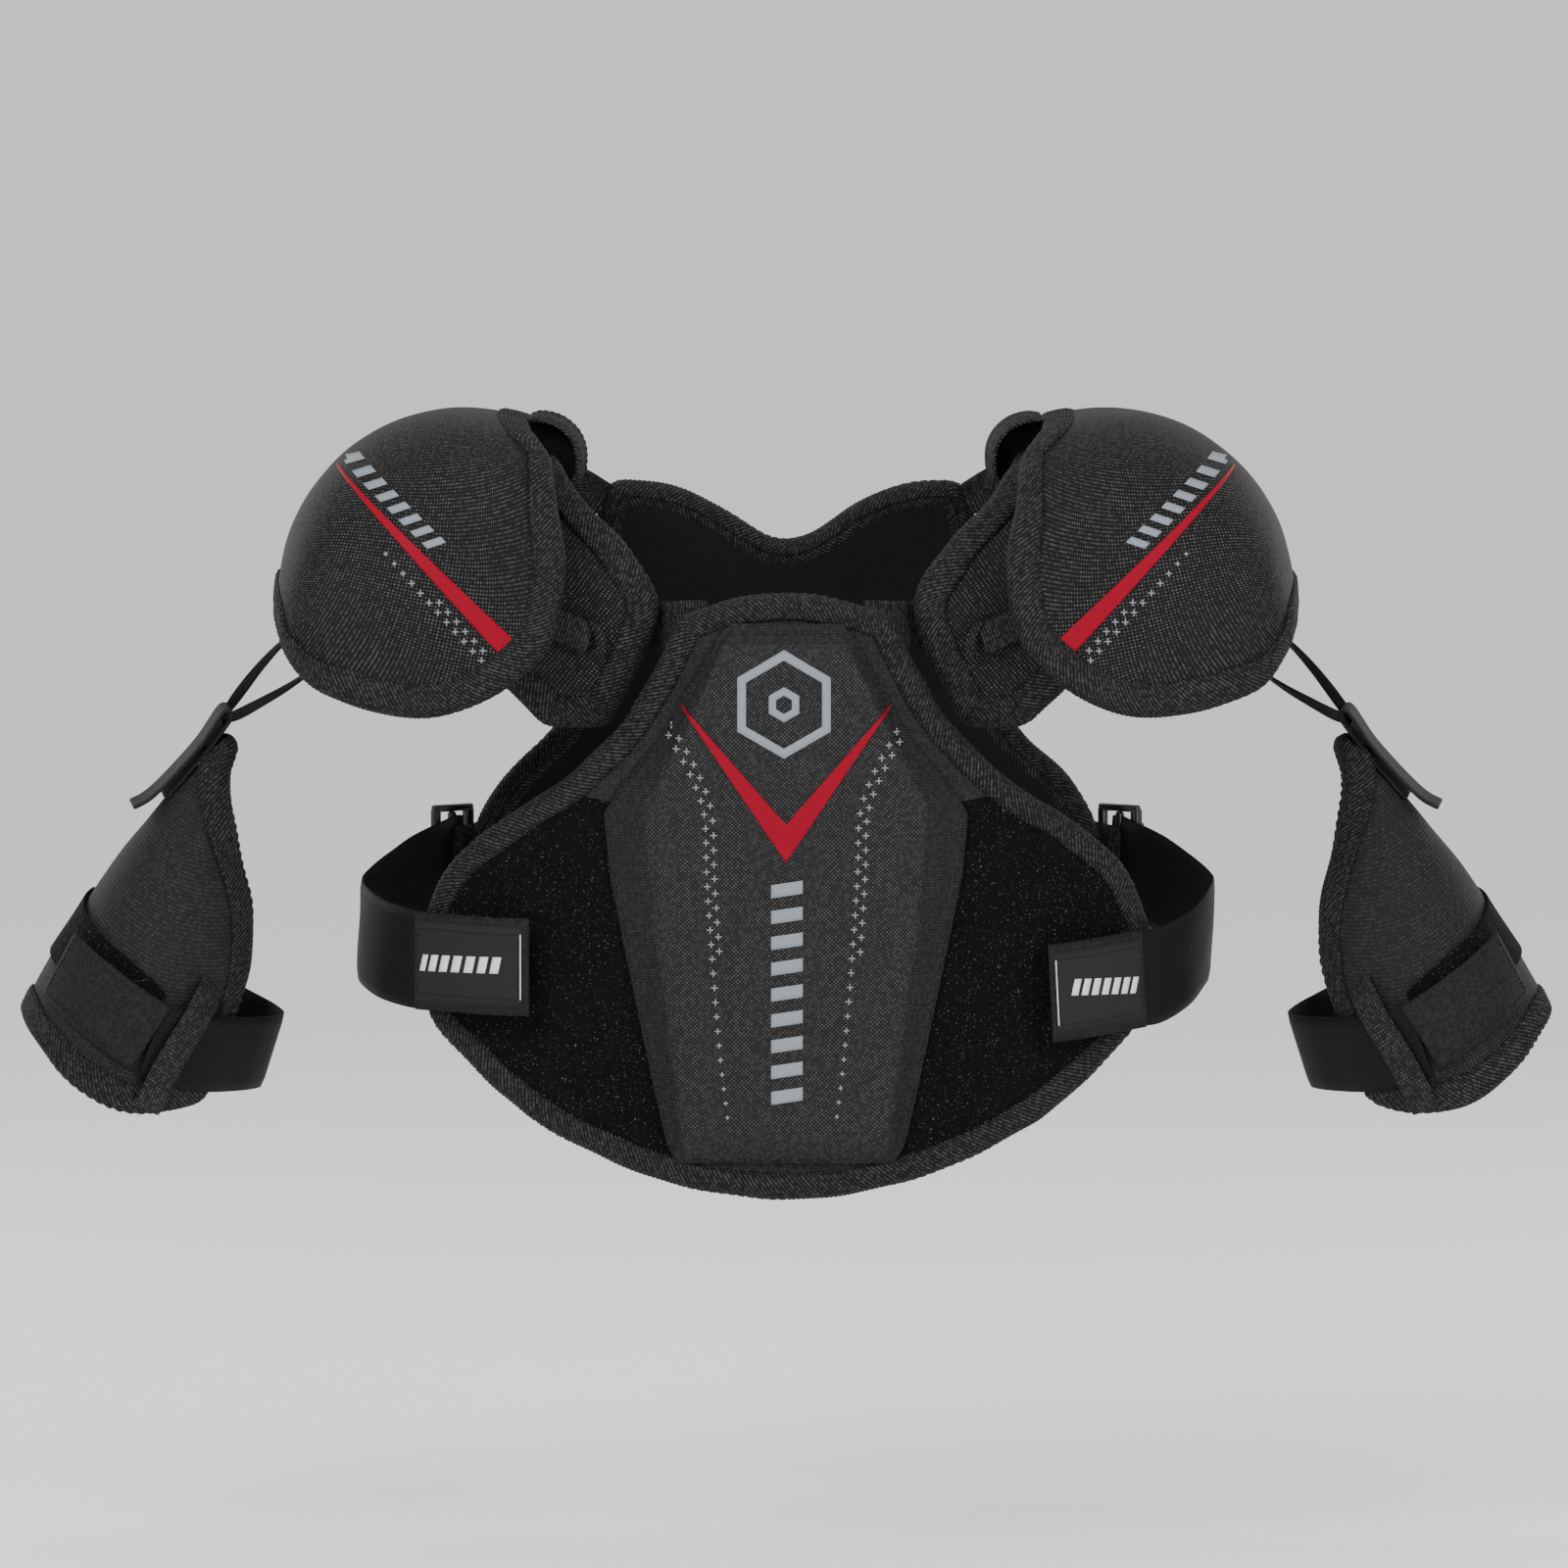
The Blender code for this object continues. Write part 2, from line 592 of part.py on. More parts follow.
def build_guard(label, side, carrier, tab_carrier):
    """Foam, liner, binding, loop field, arm elastic, keeper, hook tab and hanger."""
    body = on_side(guard_surface(GUARD_INSET), side)
    shell("guard_foam_" + label, body, GUARD_FOAM, 10, 8, NYLON, carrier)
    inner = lifted(on_side(guard_surface(GUARD_INSET, GUARD_LINER_TOP), side), -GUARD_FOAM - GUARD_GAP)
    shell("guard_liner_" + label, inner, LINER, 10, 7, DARK, carrier)
    edge = lifted(on_side(guard_surface(GUARD_EDGE_RADIUS), side), -(GUARD_FOAM + LINER) / 2)
    roll("guard_binding_" + label, rim(edge, 8, 8), GUARD_EDGE_RADIUS, TWILL, carrier)

    def field(u, v):
        return guard_point(mix(*GUARD_FIELD_TURN, (u + 1) / 2), GUARD_FIELD_HEIGHT,
                           mix(*GUARD_FIELD_DOWN, (v + 1) / 2))
    shell("guard_loop_" + label, on_side(field, side), GUARD_FIELD_SKIN, 8, 1, LOOP, carrier)
    guard_strip("arm_elastic_" + label, ARM_BAND, ARM_BAND_WIDTH, WEBBING_THICKNESS, 14,
                DARK, side, carrier)
    guard_strip("arm_keeper_" + label, ARM_KEEPER, ARM_KEEPER_WIDTH, WEBBING_THICKNESS, 8,
                WEBBING, side, carrier)
    guard_strip("arm_tab_" + label, ARM_TAB, ARM_TAB_WIDTH, 2.0, 7, WEBBING, side, tab_carrier)
    keys = [(x, 0, z) for x, z in HANGER]
    strap("hanger_strap_" + label, keys, HANGER_WIDTH, HANGER_THICKNESS, (0, 1, 0), 18,
          WEBBING, side, carrier)


# --- straps ---------------------------------------------------------------------------------


def cutter(name, size, shift):
    """A box that cuts a slot in a buckle lying along X."""
    bpy.ops.mesh.primitive_cube_add(size=1.0)
    box = bpy.context.active_object
    box.name = name
    box.data.transform(Matrix.LocRotScale(Vector(shift) * MM, None, Vector(size) * MM))
    box.hide_render = True
    box.display_type = "WIRE"
    for old in list(box.users_collection):
        old.objects.unlink(box)
    tools.objects.link(box)
    return box


def build_buckle(label, side):
    """The plastic ladder frame, with one slot for the webbing and one for the elastic."""
    name = "buckle_" + label
    bm = bmesh.new()
    bmesh.ops.create_cube(bm, size=1.0)
    for vertex in bm.verts:
        vertex.co = Vector([c * d * MM for c, d in zip(vertex.co, BUCKLE_SIZE)])
    mesh = bpy.data.meshes.new(name)
    bm.to_mesh(mesh)
    bm.free()
    obj = add(name, mesh, *PLASTIC, None)
    spread = BUCKLE_SIZE[0] * BUCKLE_SLOT_PLACE
    for part, shift in (("_inner_slot", -spread), ("_outer_slot", spread)):
        box = cutter(name + part, BUCKLE_SLOT, (shift, 0, 0))
        box.parent = obj
        slot = obj.modifiers.new("slot", "BOOLEAN")
        slot.object = box
    obj.location = placed(BUCKLE_PLACE, side) * MM
    obj.rotation_euler = (0, 0, BUCKLE_TURN * side)


def build_side_strap(label, side, carrier):
    """Anchor webbing, buckle, rear and front elastic and the hook tab."""
    up = (0.05, 0, 1)
    strap("strap_anchor_" + label, SIDE_ANCHOR, ANCHOR_WIDTH, WEBBING_THICKNESS, up, 6, WEBBING, side)
    build_buckle(label, side)
    strap("side_strap_rear_" + label, SIDE_REAR, SIDE_STRAP_WIDTH, SIDE_STRAP_THICKNESS, up, 10,
          DARK, side)
    strap("side_strap_front_" + label, SIDE_FRONT, SIDE_STRAP_WIDTH, SIDE_STRAP_THICKNESS, up, 9,
          DARK, side, carrier)
    strap("side_tab_" + label, SIDE_TAB, SIDE_STRAP_WIDTH, SIDE_TAB_THICKNESS, up, 7,
          NYLON, side, carrier)


def build_links(label, side, chest):
    """The elastic from chest pad to arch, and the tether that hinges the cap on the arch."""
    strap("chest_link_" + label, LINK, LINK_WIDTH, WEBBING_THICKNESS, (0, 0, 1), 6, WEBBING, side, chest)
    keys = [(x, 4, z) for x, z in TETHER]
    strap("cap_tether_" + label, keys, TETHER_WIDTH, TETHER_THICKNESS, (0, 1, 0), 12, TWILL, side)


def main():
    """Build the whole set: root pieces first, then each side's moving bodies."""
    chest = pivot("chest_pivot", FRONT_HINGE)
    build_chest(chest)
    build_back()
    for label, side in SIDES.items():
        build_arch(label, side)
        build_links(label, side, chest)
        cap = pivot("cap_pivot_" + label, placed(CAP_HINGE, side))
        build_cap(label, side, cap)
        lace = pivot("lace_pivot_" + label, placed(LACE_HINGE, side))
        build_lace(label, side, lace)
        guard = pivot("guard_pivot_" + label, placed(LACE_BAR, side))
        tab = pivot("arm_tab_pivot_" + label, placed(guard_point(*ARM_TAB_HINGE), side))
        build_guard(label, side, guard, tab)
        strap_pivot = pivot("side_strap_pivot_" + label, placed(SIDE_HINGE, side))
        build_side_strap(label, side, strap_pivot)


NYLON = ((0.030, 0.030, 0.032), 0.62)
TWILL = ((0.022, 0.022, 0.024), 0.70)
DARK = ((0.012, 0.012, 0.013), 0.80)
FOAM_LOOK = ((0.020, 0.020, 0.021), 0.85)
LOOP = ((0.006, 0.006, 0.006), 0.95)
PLASTIC = ((0.015, 0.015, 0.016), 0.35)
WEBBING = ((0.018, 0.018, 0.019), 0.60)

clear_scene()
parts = collection(COLLECTION)
tools = collection("cutters")
main()
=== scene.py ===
"""Looks for the ice hockey shoulder pads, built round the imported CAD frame.

Sizes are in millimetres and meshes are scaled to metres as they are made. Every padded piece is a
grid of points on a bent surface, u across and v up, both from -1 to 1; its layers are that grid
lifted along its own normals. Soft layers are then inflated by a cloth simulation.
"""

import math

import bmesh
import bpy
import numpy as np
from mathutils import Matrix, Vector
from mathutils.bvhtree import BVHTree


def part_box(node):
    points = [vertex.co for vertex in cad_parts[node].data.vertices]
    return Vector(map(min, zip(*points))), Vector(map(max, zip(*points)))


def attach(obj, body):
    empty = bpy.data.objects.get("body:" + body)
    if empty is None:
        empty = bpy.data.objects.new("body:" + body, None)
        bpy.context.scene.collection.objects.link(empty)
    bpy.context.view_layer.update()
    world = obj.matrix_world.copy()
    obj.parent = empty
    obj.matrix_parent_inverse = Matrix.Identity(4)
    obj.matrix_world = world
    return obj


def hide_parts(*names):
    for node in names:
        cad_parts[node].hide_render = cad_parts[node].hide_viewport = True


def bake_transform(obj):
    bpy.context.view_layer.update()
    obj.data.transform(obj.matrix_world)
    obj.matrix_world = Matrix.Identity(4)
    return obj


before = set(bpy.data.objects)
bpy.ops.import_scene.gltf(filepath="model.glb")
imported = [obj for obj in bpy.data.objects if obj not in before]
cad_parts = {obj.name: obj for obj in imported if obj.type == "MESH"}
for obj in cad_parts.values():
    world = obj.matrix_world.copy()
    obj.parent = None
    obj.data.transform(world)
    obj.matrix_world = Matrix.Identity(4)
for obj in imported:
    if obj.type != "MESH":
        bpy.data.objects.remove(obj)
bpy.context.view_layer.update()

MM = 0.001
UV_SCALE = 0.01
SIDES = {"left": 1, "right": -1}

# Camera, floor and lights, in metres: each light's name, place, size and power
VIEW_CENTRE = (-0.001, -0.100, -0.097)
VIEW_WIDTH = 0.8
VIEW_DISTANCE = 11.0
VIEW_ELEVATION = math.radians(4.0)
SENSOR = 36.0
FLOOR_Z = -0.50
FLOOR_REACH = 200.0
WORLD_STRENGTH = 0.9
LIGHTS = [("key", (-1.3, -2.2, 1.6), 1.2, 60), ("fill", (1.7, -2.0, 0.6), 1.4, 34),
          ("top", (0.0, 0.1, 2.2), 1.6, 12), ("back_left", (-1.8, 1.9, 0.6), 1.0, 14),
          ("back_right", (1.8, 1.9, 0.6), 1.0, 14)]

# The wearer's torso, and the padding over it
TORSO_HALF_WIDTH = 230.0
CHEST_DEPTH = 100.0
CHEST_TOP_DROP = 12.0
BACK_DEPTH = 98.0
BACK_TOP_DROP = 24.0
BACK_TOP_Z = 48.0
BACK_BOTTOM_Z = -290.0
FULLEST_Z = -190.0
FOAM_TOP = 12.5
PAD_INSET = 9.0
EDGE_INSET = 6.5
LINING_TOP = 1.8

# Chest pad: its edge as (x, z), and the sternum plate as (z, half width, half raised face)
CHEST_TOP_Z = 0.0
CHEST_BOTTOM_Z = -309.0
CHEST_EDGE = [(54, -12), (66, -38), (84, -67), (112, -95), (144, -117),
              (171, -143), (184, -180), (179, -217), (155, -246), (130, -268)]
STERNUM_ROWS = [(-15, 32, 30), (-27, 38, 33), (-46, 49, 42), (-72, 63, 53), (-100, 86, 65),
                (-112, 93, 70), (-143, 90, 67), (-178, 83, 63), (-216, 75, 58),
                (-254, 67, 53), (-280, 61, 50), (-290, 59, 48)]
PLATE_TOP_Z = -14.5
PLATE_BOTTOM_Z = -290.5
PLATE_RISE = 11.6
PLATE_RIM = 3.5
COLLAR_Z = -24.5
LOOP_ROWS = 46
LINK = [(40, -85.4, -16), (52, -80, -16.5), (62, -71.5, -17.3), (72, -65.6, -18), (88, -62, -19)]

# Back pad
BACK_EDGE = [(92, 46), (98, 20), (98, -20), (102, -58), (124, -86), (149, -112),
             (163, -148), (161, -190), (142, -232), (112, -262)]
NECK_DIP = 32.0
NECK_DIP_WIDTH = 40.0
NECK_SLIT = [(81.0, 26.5), (85.0, 30.0), (89.0, 34.0)]
NECK_GUSSET = [(116, 60, 49), (106, 68, 45.5), (97, 72.5, 41), (86, 75.5, 34)]
SPINE_HALF = 46.0
SPINE_GROOVE = 0.7636
SPINE_GROOVE_WIDTH = 3.2

# Shoulder arches: middle line as (y, z), and edges as (inner x, outer x)
ARCH_LINE = [(-76, -71), (-79, -40), (-80, -8), (-75, 20), (-60, 43), (-33, 59), (0, 65),
             (34, 67), (62, 62), (77, 45), (82, 22), (83, -4)]
ARCH_EDGES = [(90, 120), (76, 150), (65, 170), (79, 176), (101, 178), (112, 180), (117, 181),
              (115, 180), (109, 178), (101, 172), (99.5, 166), (99.5, 160)]
ARCH_LENGTH = 292.0
ARCH_DEPTH = 8.0
ARCH_WEB = [(100, -84.6, -24.5), (107, -85.2, -21), (116, -85.6, -17), (138, -85, -8),
            (160, -83.5, 2)]
WEB_SLIT = [(96.0, -85.2, -33), (94.0, -86.6, -28), (95.0, -87.2, -22), (98.5, -86.6, -15)]

# Shoulder caps, in a frame tilted outwards; the rim as (lateral, height)
CAP_CENTRE = (182.0, 16.0)
CAP_TILT = math.radians(36.0)
CAP_HALF_SPAN = 82.5
CAP_CROWN_RADIUS = 95.0
CAP_CROWN_HEIGHT = 68.0
CAP_FRONT = 116.0
CAP_CORNER_Y = 52.0
CAP_SQUARENESS = 3.0
CAP_CORNER = 4.0
CAP_ARC = 96.0
CAP_RIM = [(-85, 17), (-87, -12), (-75, -33), (-54, -57), (-28, -71), (0, -74), (24, -70),
           (46, -53), (60, -34), (72, -10), (84, 14)]
TETHER = [(131, 4, 84.4), (124, 4, 84.4), (116.5, 4, 81.8), (110.5, 4, 76.8), (107, 4, 70.4),
          (106, 4, 63), (107, 4, 55), (112, 4, 49.5)]
TETHER_SEAM = [(134, 4, 80), (119, 4, 48)]
TETHER_BLEND = [(112, 0, 80), (130, 0, 85)]

# Laces: the front run from inside the cap to the hanger's fold, then the back run
LACE = [(229, -11, -24), (235, -12, -35), (244, -13, -44.5), (256, -13.5, -53),
        (269, -13, -60.5), (281, -11, -67), (288, -7.5, -69.8), (290.2, -3, -69.6),
        (290.2, 3, -69.2), (288, 8.5, -66.5), (281, 12, -57), (272, 13, -45.5),
        (262, 13, -34.5), (252, 12, -25.5), (245, 11, -20), (239, 10, -17)]
LACE_WIDTH = 5.6
LACE_THICKNESS = 1.7
LACE_STEPS = 120
LACE_SIDES = 12

# Biceps guards: rows of (radius, shift, wrap in degrees); straps as (degrees, height, down)
GUARD_TOP = (281.0, -78.0)
GUARD_LEAN = math.radians(17.5)
GUARD_LENGTH = 172.0
GUARD_POINT = 28.0
GUARD_ROWS = [(12, -5, 62), (19, 2, 112), (29, 4, 138), (42, 2, 146), (50, 2, 149),
              (55, 5, 150), (58, 6, 148), (57, 3, 142)]
GUARD_SPAN = 200.0
GUARD_INSET = 8.5
GUARD_DEPTH = 6.0
ARM_BAND = [(-99, 3.3, 160), (-112, 3.3, 160), (-125, 3.3, 160), (-138, 3.6, 158), (-150, 5, 156),
            (-165, 10, 153), (-180, 14, 150.5), (-195, 10, 149), (-210, 5, 148), (-228, 3.6, 147)]
ARM_TAB = [(-99, 4.6, 158.8), (-88, 4.6, 155.5), (-70, 4.4, 149.7), (-52, 4.3, 143.8),
           (-34, 4.3, 138)]
ARM_TAB_BLEND = [(-98.5, 5, 158), (-93.0, 5, 156.5)]
ARM_KEEPER = [(-122, 1.2, 124), (-119, 5.2, 131), (-116.5, 7.4, 142), (-112.5, 7.6, 158),
              (-108.5, 7.4, 176), (-106.5, 5.4, 188), (-105, 1.6, 195)]
HANGER = [(320.5, -110), (311, -99.5), (299, -85.5), (289.5, -73), (286.6, -68), (287.6, -64.8),
          (291.4, -66.6), (301.2, -81.2), (312.8, -94.6), (323.5, -105.6), (330, -111.0),
          (337, -114.6)]

# Side straps. The photo's two tabs differ: the share of the line that each covers, how far below
# the CAD tab it starts and ends, and its lean
SIDE_ANCHOR = [(122, 104, -146), (140, 98.5, -147), (156, 91.5, -149), (168, 82, -151),
               (173.5, 80.0, -151), (178, 74.5, -151.5)]
SIDE_ELASTIC = [(168.5, 84.5, -151), (172.8, 81.2, -151), (181, 68, -154), (195, 51, -160),
                (208, 30, -168), (216, 13, -174), (219, 0, -178), (216, -26, -181),
                (207, -52, -183), (193, -75, -184), (182, -85.4, -184.6), (170, -92.4, -185)]
SIDE_TAB = [(189.5, -82.8, -184.6), (182, -88.6, -184.8), (171, -95.2, -185),
            (158, -101.8, -185.6), (145, -106.8, -186), (131, -110.8, -186)]
STRAP_UP = (0.05, 0, 1)
STRAP_WIDTH = 50.0
TAB_SPAN = {1: (0.175, 0.945), -1: (0.0, 1.0)}
TAB_DROP = {1: (12.5, 17.5), -1: (4.0, 4.0)}
TAB_LEAN = {1: -0.05, -1: 0.0}
BUCKLE_TURN = math.radians(-42.0)

# Buckle bars as (middle, half size), along the buckle, out of it and up
BUCKLE_BARS = [((-11.4, 0, 0), (2.3, 2.2, 29.0)), ((0, 0.3, 0), (2.0, 2.0, 27.0)),
               ((11.2, 0.4, 0), (2.6, 2.4, 29.0)), ((0, 0, 29.0), (13.4, 2.1, 1.9)),
               ((0, 0, -29.0), (13.4, 2.1, 1.9)), ((12.8, 2.0, 0), (1.6, 1.6, 22.0))]

# Bindings, threads and prints
TAPE_STEP = 0.8
TAPE_RIB_PITCH = 2.3
TAPE_EVENING = 5.0
SEAM_PLACE = 17
PRINT_LIFT = 0.35
PRINT_CELL = 2.0
PRINT_THICKNESS = 0.12
MARK_SIZE = 1.75
MARK_STROKE = 0.33
MARK_ROW_SHIFT = 1.95

# Cloth
CLOTH_FRAMES = 20
CLOTH_MASS = 0.1
CLOTH_STIFFNESS = 25
CLOTH_BENDING = 1.0

# Shading that the fabrics share
SPECULAR = 0.12
SHEEN_ROUGHNESS = 0.6
# How much the painted highlights on the fabrics' yarns vary in broad patches
GLINT_PATCH_SPREAD = 0.35

# Filled as the pieces are made, and used once all are there
riders = []
cushions = []
blends = []


# --- numbers and grids ----------------------------------------------------------------------


def mix(a, b, t):
    """The value a share t of the way from a to b."""
    return a + (b - a) * t


def along(keys, t):
    """A point on the smooth curve through evenly timed keys, for t from 0 to 1."""
    keys = np.asarray(keys, float)
    last = len(keys) - 1
    i = max(0, min(int(t * last), last - 1))
    f = t * last - i
    start, stop = keys[i], keys[i + 1]
    before = keys[i - 1] if i > 0 else start * 2 - stop
    after = keys[i + 2] if i + 2 <= last else stop * 2 - start
    pull, push = (stop - before) * 0.5, (after - start) * 0.5
    return (start * (2 * f**3 - 3 * f**2 + 1) + pull * (f**3 - 2 * f**2 + f)
            + stop * (3 * f**2 - 2 * f**3) + push * (f**3 - f**2))


def curve(keys, count):
    """Points at even times on the smooth curve through the keys."""
    return np.array([along(keys, t) for t in np.linspace(0, 1, count + 1)])


def smooth(t):
    """An S-curve from 0 to 1."""
    t = np.clip(t, 0, 1)
    return t * t * (3 - 2 * t)


def unit(vectors):
    """Vectors of length one."""
    return vectors / np.maximum(np.linalg.norm(vectors, axis=-1, keepdims=True), 1e-9)


def travelled(path):
    """How far along a line each of its points is."""
    return np.concatenate([[0], np.cumsum(np.linalg.norm(np.diff(path, axis=0), axis=1))])


def at_distance(wanted, here, values):
    """Values known at the distances here, read off at the distances wanted."""
    return np.stack([np.interp(wanted, here, column) for column in np.transpose(values)], axis=-1)


def sample(surface, columns, rows):
    """A grid of points on a surface: one row of points for each v."""
    return np.array([[surface(u, v) for u in np.linspace(-1, 1, columns + 1)]
                     for v in np.linspace(-1, 1, rows + 1)], float)


def normals(grid):
    """The outward direction at each point of a grid, evened out over its neighbours."""
    rows, columns = grid.shape[:2]
    area = np.cross(np.gradient(grid, axis=1), np.gradient(grid, axis=0))
    area = np.pad(area, ((1, 1), (1, 1), (0, 0)), mode="edge")
    return unit(sum(area[i:i + rows, j:j + columns] for i in range(3) for j in range(3)))


def lift(grid, height):
    """The grid moved outwards along its normals, by one height or one for each point."""
    return grid + normals(grid) * np.reshape(height, np.shape(height) + (1,))


def on_side(grid, side):
    """The grid for the wearer's left (1), or its mirror image for the right (-1)."""
    return grid if side > 0 else grid[:, ::-1] * np.array([-1.0, 1.0, 1.0])


def placed(points, side):
    """Points given for the wearer's left, on the side that is wanted."""
    return np.array(points, float) * [side, 1, 1]


def ring(grid):
    """The points once round the edge of a grid, anticlockwise seen from outside."""
    return np.concatenate([grid[0, :-1], grid[:-1, -1], grid[-1, :0:-1], grid[:0:-1, 0]])


def rim_of(grid):
    """The two outermost rings of a grid, which the cloth leaves in place."""
    held = np.ones(grid.shape[:2], bool)
    held[2:-2, 2:-2] = False
    return held


def blurred(field, times):
    """A height field with its creases softened, its border kept."""
    field = field.copy()
    for _ in range(times):
        inner = (field[:-2, 1:-1] + field[2:, 1:-1] + field[1:-1, :-2] + field[1:-1, 2:]) / 4
        field[1:-1, 1:-1] = mix(field[1:-1, 1:-1], inner, 0.6)
    return field


def wobble(grid, size, seed):
    """A slow, smooth unevenness from -1 to 1 over a grid of points."""
    x, y, z = np.moveaxis(grid / size, -1, 0)
    return (np.sin(x * 1.7 + z * 1.1 + seed) * np.sin(z * 1.9 - x * 0.7 + y + seed * 2)
            + 0.5 * np.sin(x * 3.9 + y * 2.3 + seed * 3) * np.sin(z * 4.3 + seed)) / 1.5


# --- materials ------------------------------------------------------------------------------


class Value:
    """A number in a material, whose arithmetic adds the math nodes for it."""

    def __init__(self, nodes, socket):
        self.nodes, self.socket = nodes, socket

    def __add__(self, other):
        return self.nodes.math("ADD", self, other)

    def __sub__(self, other):
        return self.nodes.math("SUBTRACT", self, other)

    def __mul__(self, other):
        return self.nodes.math("MULTIPLY", self, other)


class Nodes:
    """A material's node tree, with short calls for the nodes that the fabrics use."""

    def __init__(self, name):
        self.material = bpy.data.materials.new(name)
        self.material.use_nodes = True
        self.tree = self.material.node_tree
        self.shader = self.tree.nodes["Principled BSDF"]

    def new(self, kind, **inputs):
        node = self.tree.nodes.new(kind)
        for name, value in inputs.items():
            self.set(node.inputs[name.replace("_", " ")], value)
        return node

    def set(self, socket, value):
        if isinstance(value, Value):
            self.tree.links.new(value.socket, socket)
        else:
            socket.default_value = value

    def math(self, operation, a, b=0.0):
        node = self.new("ShaderNodeMath")
        node.operation = operation
        self.set(node.inputs[0], a)
        self.set(node.inputs[1], b)
        return Value(self, node.outputs[0])

    def blend(self, factor, a, b):
        """A colour between two."""
        node = self.new("ShaderNodeMix")
        node.data_type = "RGBA"
        for place, value in ((0, factor), (6, a), (7, b)):
            self.set(node.inputs[place], value)
        return Value(self, node.outputs[2])

    def coordinates(self, kind):
        return Value(self, self.new("ShaderNodeTexCoord").outputs[kind])

    def noise(self, scale, detail):
        """Noise in object space, so that it doesn't follow a piece's own coordinates."""
        node = self.new("ShaderNodeTexNoise", Scale=scale, Detail=detail,
                        Vector=self.coordinates("Object"))
        return Value(self, node.outputs["Fac"])

    def between(self, value, low, high):
        """How far a value has come from low to high, from 0 to 1."""
        node = self.new("ShaderNodeMapRange", Value=value, From_Min=low, From_Max=high)
        return Value(self, node.outputs[0])

    def millimetres(self):
        """The piece's own surface coordinates, in millimetres across and along."""
        parts = self.new("ShaderNodeSeparateXYZ", Vector=self.coordinates("UV"))
        return [Value(self, parts.outputs[i]) * (1 / UV_SCALE) for i in (0, 1)]

    def wave(self, value, pitch):
        """A sine of one cycle for each pitch, from 0 to 1."""
        return self.math("SINE", value * (2 * math.pi / pitch)) * 0.5 + 0.5

    def finish(self, colour, roughness, height, depth, sheen=0.0, specular=SPECULAR):
        """Give the material its colour and roughness, and a bump that is depth high."""
        bump = self.new("ShaderNodeBump", Height=height, Strength=1.0, Distance=depth * MM)
        self.set(self.shader.inputs["Base Color"], colour)
        self.set(self.shader.inputs["Roughness"], roughness)
        self.set(self.shader.inputs["Normal"], Value(self, bump.outputs[0]))
        self.shader.inputs["Specular IOR Level"].default_value = specular
        self.shader.inputs["Sheen Weight"].default_value = sheen
        self.shader.inputs["Sheen Roughness"].default_value = SHEEN_ROUGHNESS
        return self.material


def grey(value):
    """A grey colour."""
    return (value, value, value, 1.0)


def dots(nodes, across, up, pitch):
    """Staggered round dots of a ripstop weave."""
    turn = 2 * math.pi / pitch
    crossing = nodes.math("SINE", across * turn) * nodes.math("SINE", up * turn)
    return nodes.math("POWER", nodes.math("MAXIMUM", crossing, 0.0), 1.3)


def twill(nodes, across, up, pitch, yarn=0.7):
    """Slanting lines of a twill, broken into short yarns."""
    lines = nodes.wave(across + up * 0.8, pitch)
    yarns = nodes.wave(up - across * 0.3, pitch * yarn)
    return lines * (yarns * 0.6 + 0.4)


def herringbone(nodes, across, up, pitch):
    """Slanting ribs that turn back in the middle of the tape, broken into short yarns."""
    lines = nodes.wave(across + nodes.math("ABSOLUTE", up) * 0.8, pitch)
    yarns = nodes.wave(up - across * 0.3, pitch * 0.45)
    return lines * (yarns * 0.6 + 0.4)


def ribs(nodes, across, up, pitch):
    """Ribs across a strap, broken by the yarns along it."""
    return nodes.wave(across, pitch) * 0.8 + nodes.wave(up, pitch * 0.8) * 0.2


def fine_lines(nodes, across, up, pitch):
    """Fine lines along an elastic."""
    return nodes.wave(up, pitch)


def basket(nodes, across, up, pitch):
    """The over-and-under blocks of a plain webbing."""
    turn = math.pi / pitch
    crossing = nodes.math("SINE", across * turn) * nodes.math("SINE", up * turn)
    return nodes.math("ABSOLUTE", crossing)


def fabric(name, pattern, pitch, dark, light, depth, roughness):
    """A woven fabric: its raised yarns are painted lighter as painted highlights, broken into
    bright flecks and varied in broad patches.
    """
    nodes = Nodes(name)
    height = pattern(nodes, *nodes.millimetres(), pitch)
    worn = nodes.noise(28.0, 4.0)
    fine = nodes.noise(520.0, 2.0)
    # Painted highlights: the raised yarns are painted lighter, in random bright flecks, stronger or
    # weaker in broad patches
    glint_patches = worn * (2 * GLINT_PATCH_SPREAD) + (1 - GLINT_PATCH_SPREAD)
    painted_glints = nodes.between(fine, 0.42, 0.62) * 0.8 + 0.2
    colour = nodes.blend(height * glint_patches * painted_glints, grey(dark), grey(light))
    return nodes.finish(colour, worn * 0.16 + (roughness - 0.08), height + fine * 0.35, depth)


def fuzz(name, dark, light):
    """The brushed loop field: a deep black nap, speckled with painted glints where its loops would
    catch the light.
    """
    nodes = Nodes(name)
    nap = nodes.noise(420.0, 6.0)
    clumps = nodes.noise(60.0, 3.0)
    # Painted glints: sparse specks of the nap painted bright
    fibre_glints = nodes.math("GREATER_THAN", nodes.noise(1150.0, 1.0), 0.70)
    base = nodes.blend(clumps, grey(dark * 0.6), grey(dark * 1.5))
    colour = nodes.blend(fibre_glints * 0.8, base, grey(light))
    return nodes.finish(colour, 0.95, nap + clumps * 0.6, 1.1, sheen=0.02, specular=0.05)


def ink(name, colour, roughness):
    """A print on fabric: the weave below still shows a little."""
    nodes = Nodes(name)
    weave = dots(nodes, *nodes.millimetres(), 1.6)
    fine = nodes.noise(700.0, 2.0)
    worn = nodes.blend(fine * 0.22, (*colour, 1.0), (*(c * 0.72 for c in colour), 1.0))
    return nodes.finish(worn, roughness, weave + fine, 0.12, specular=0.04)


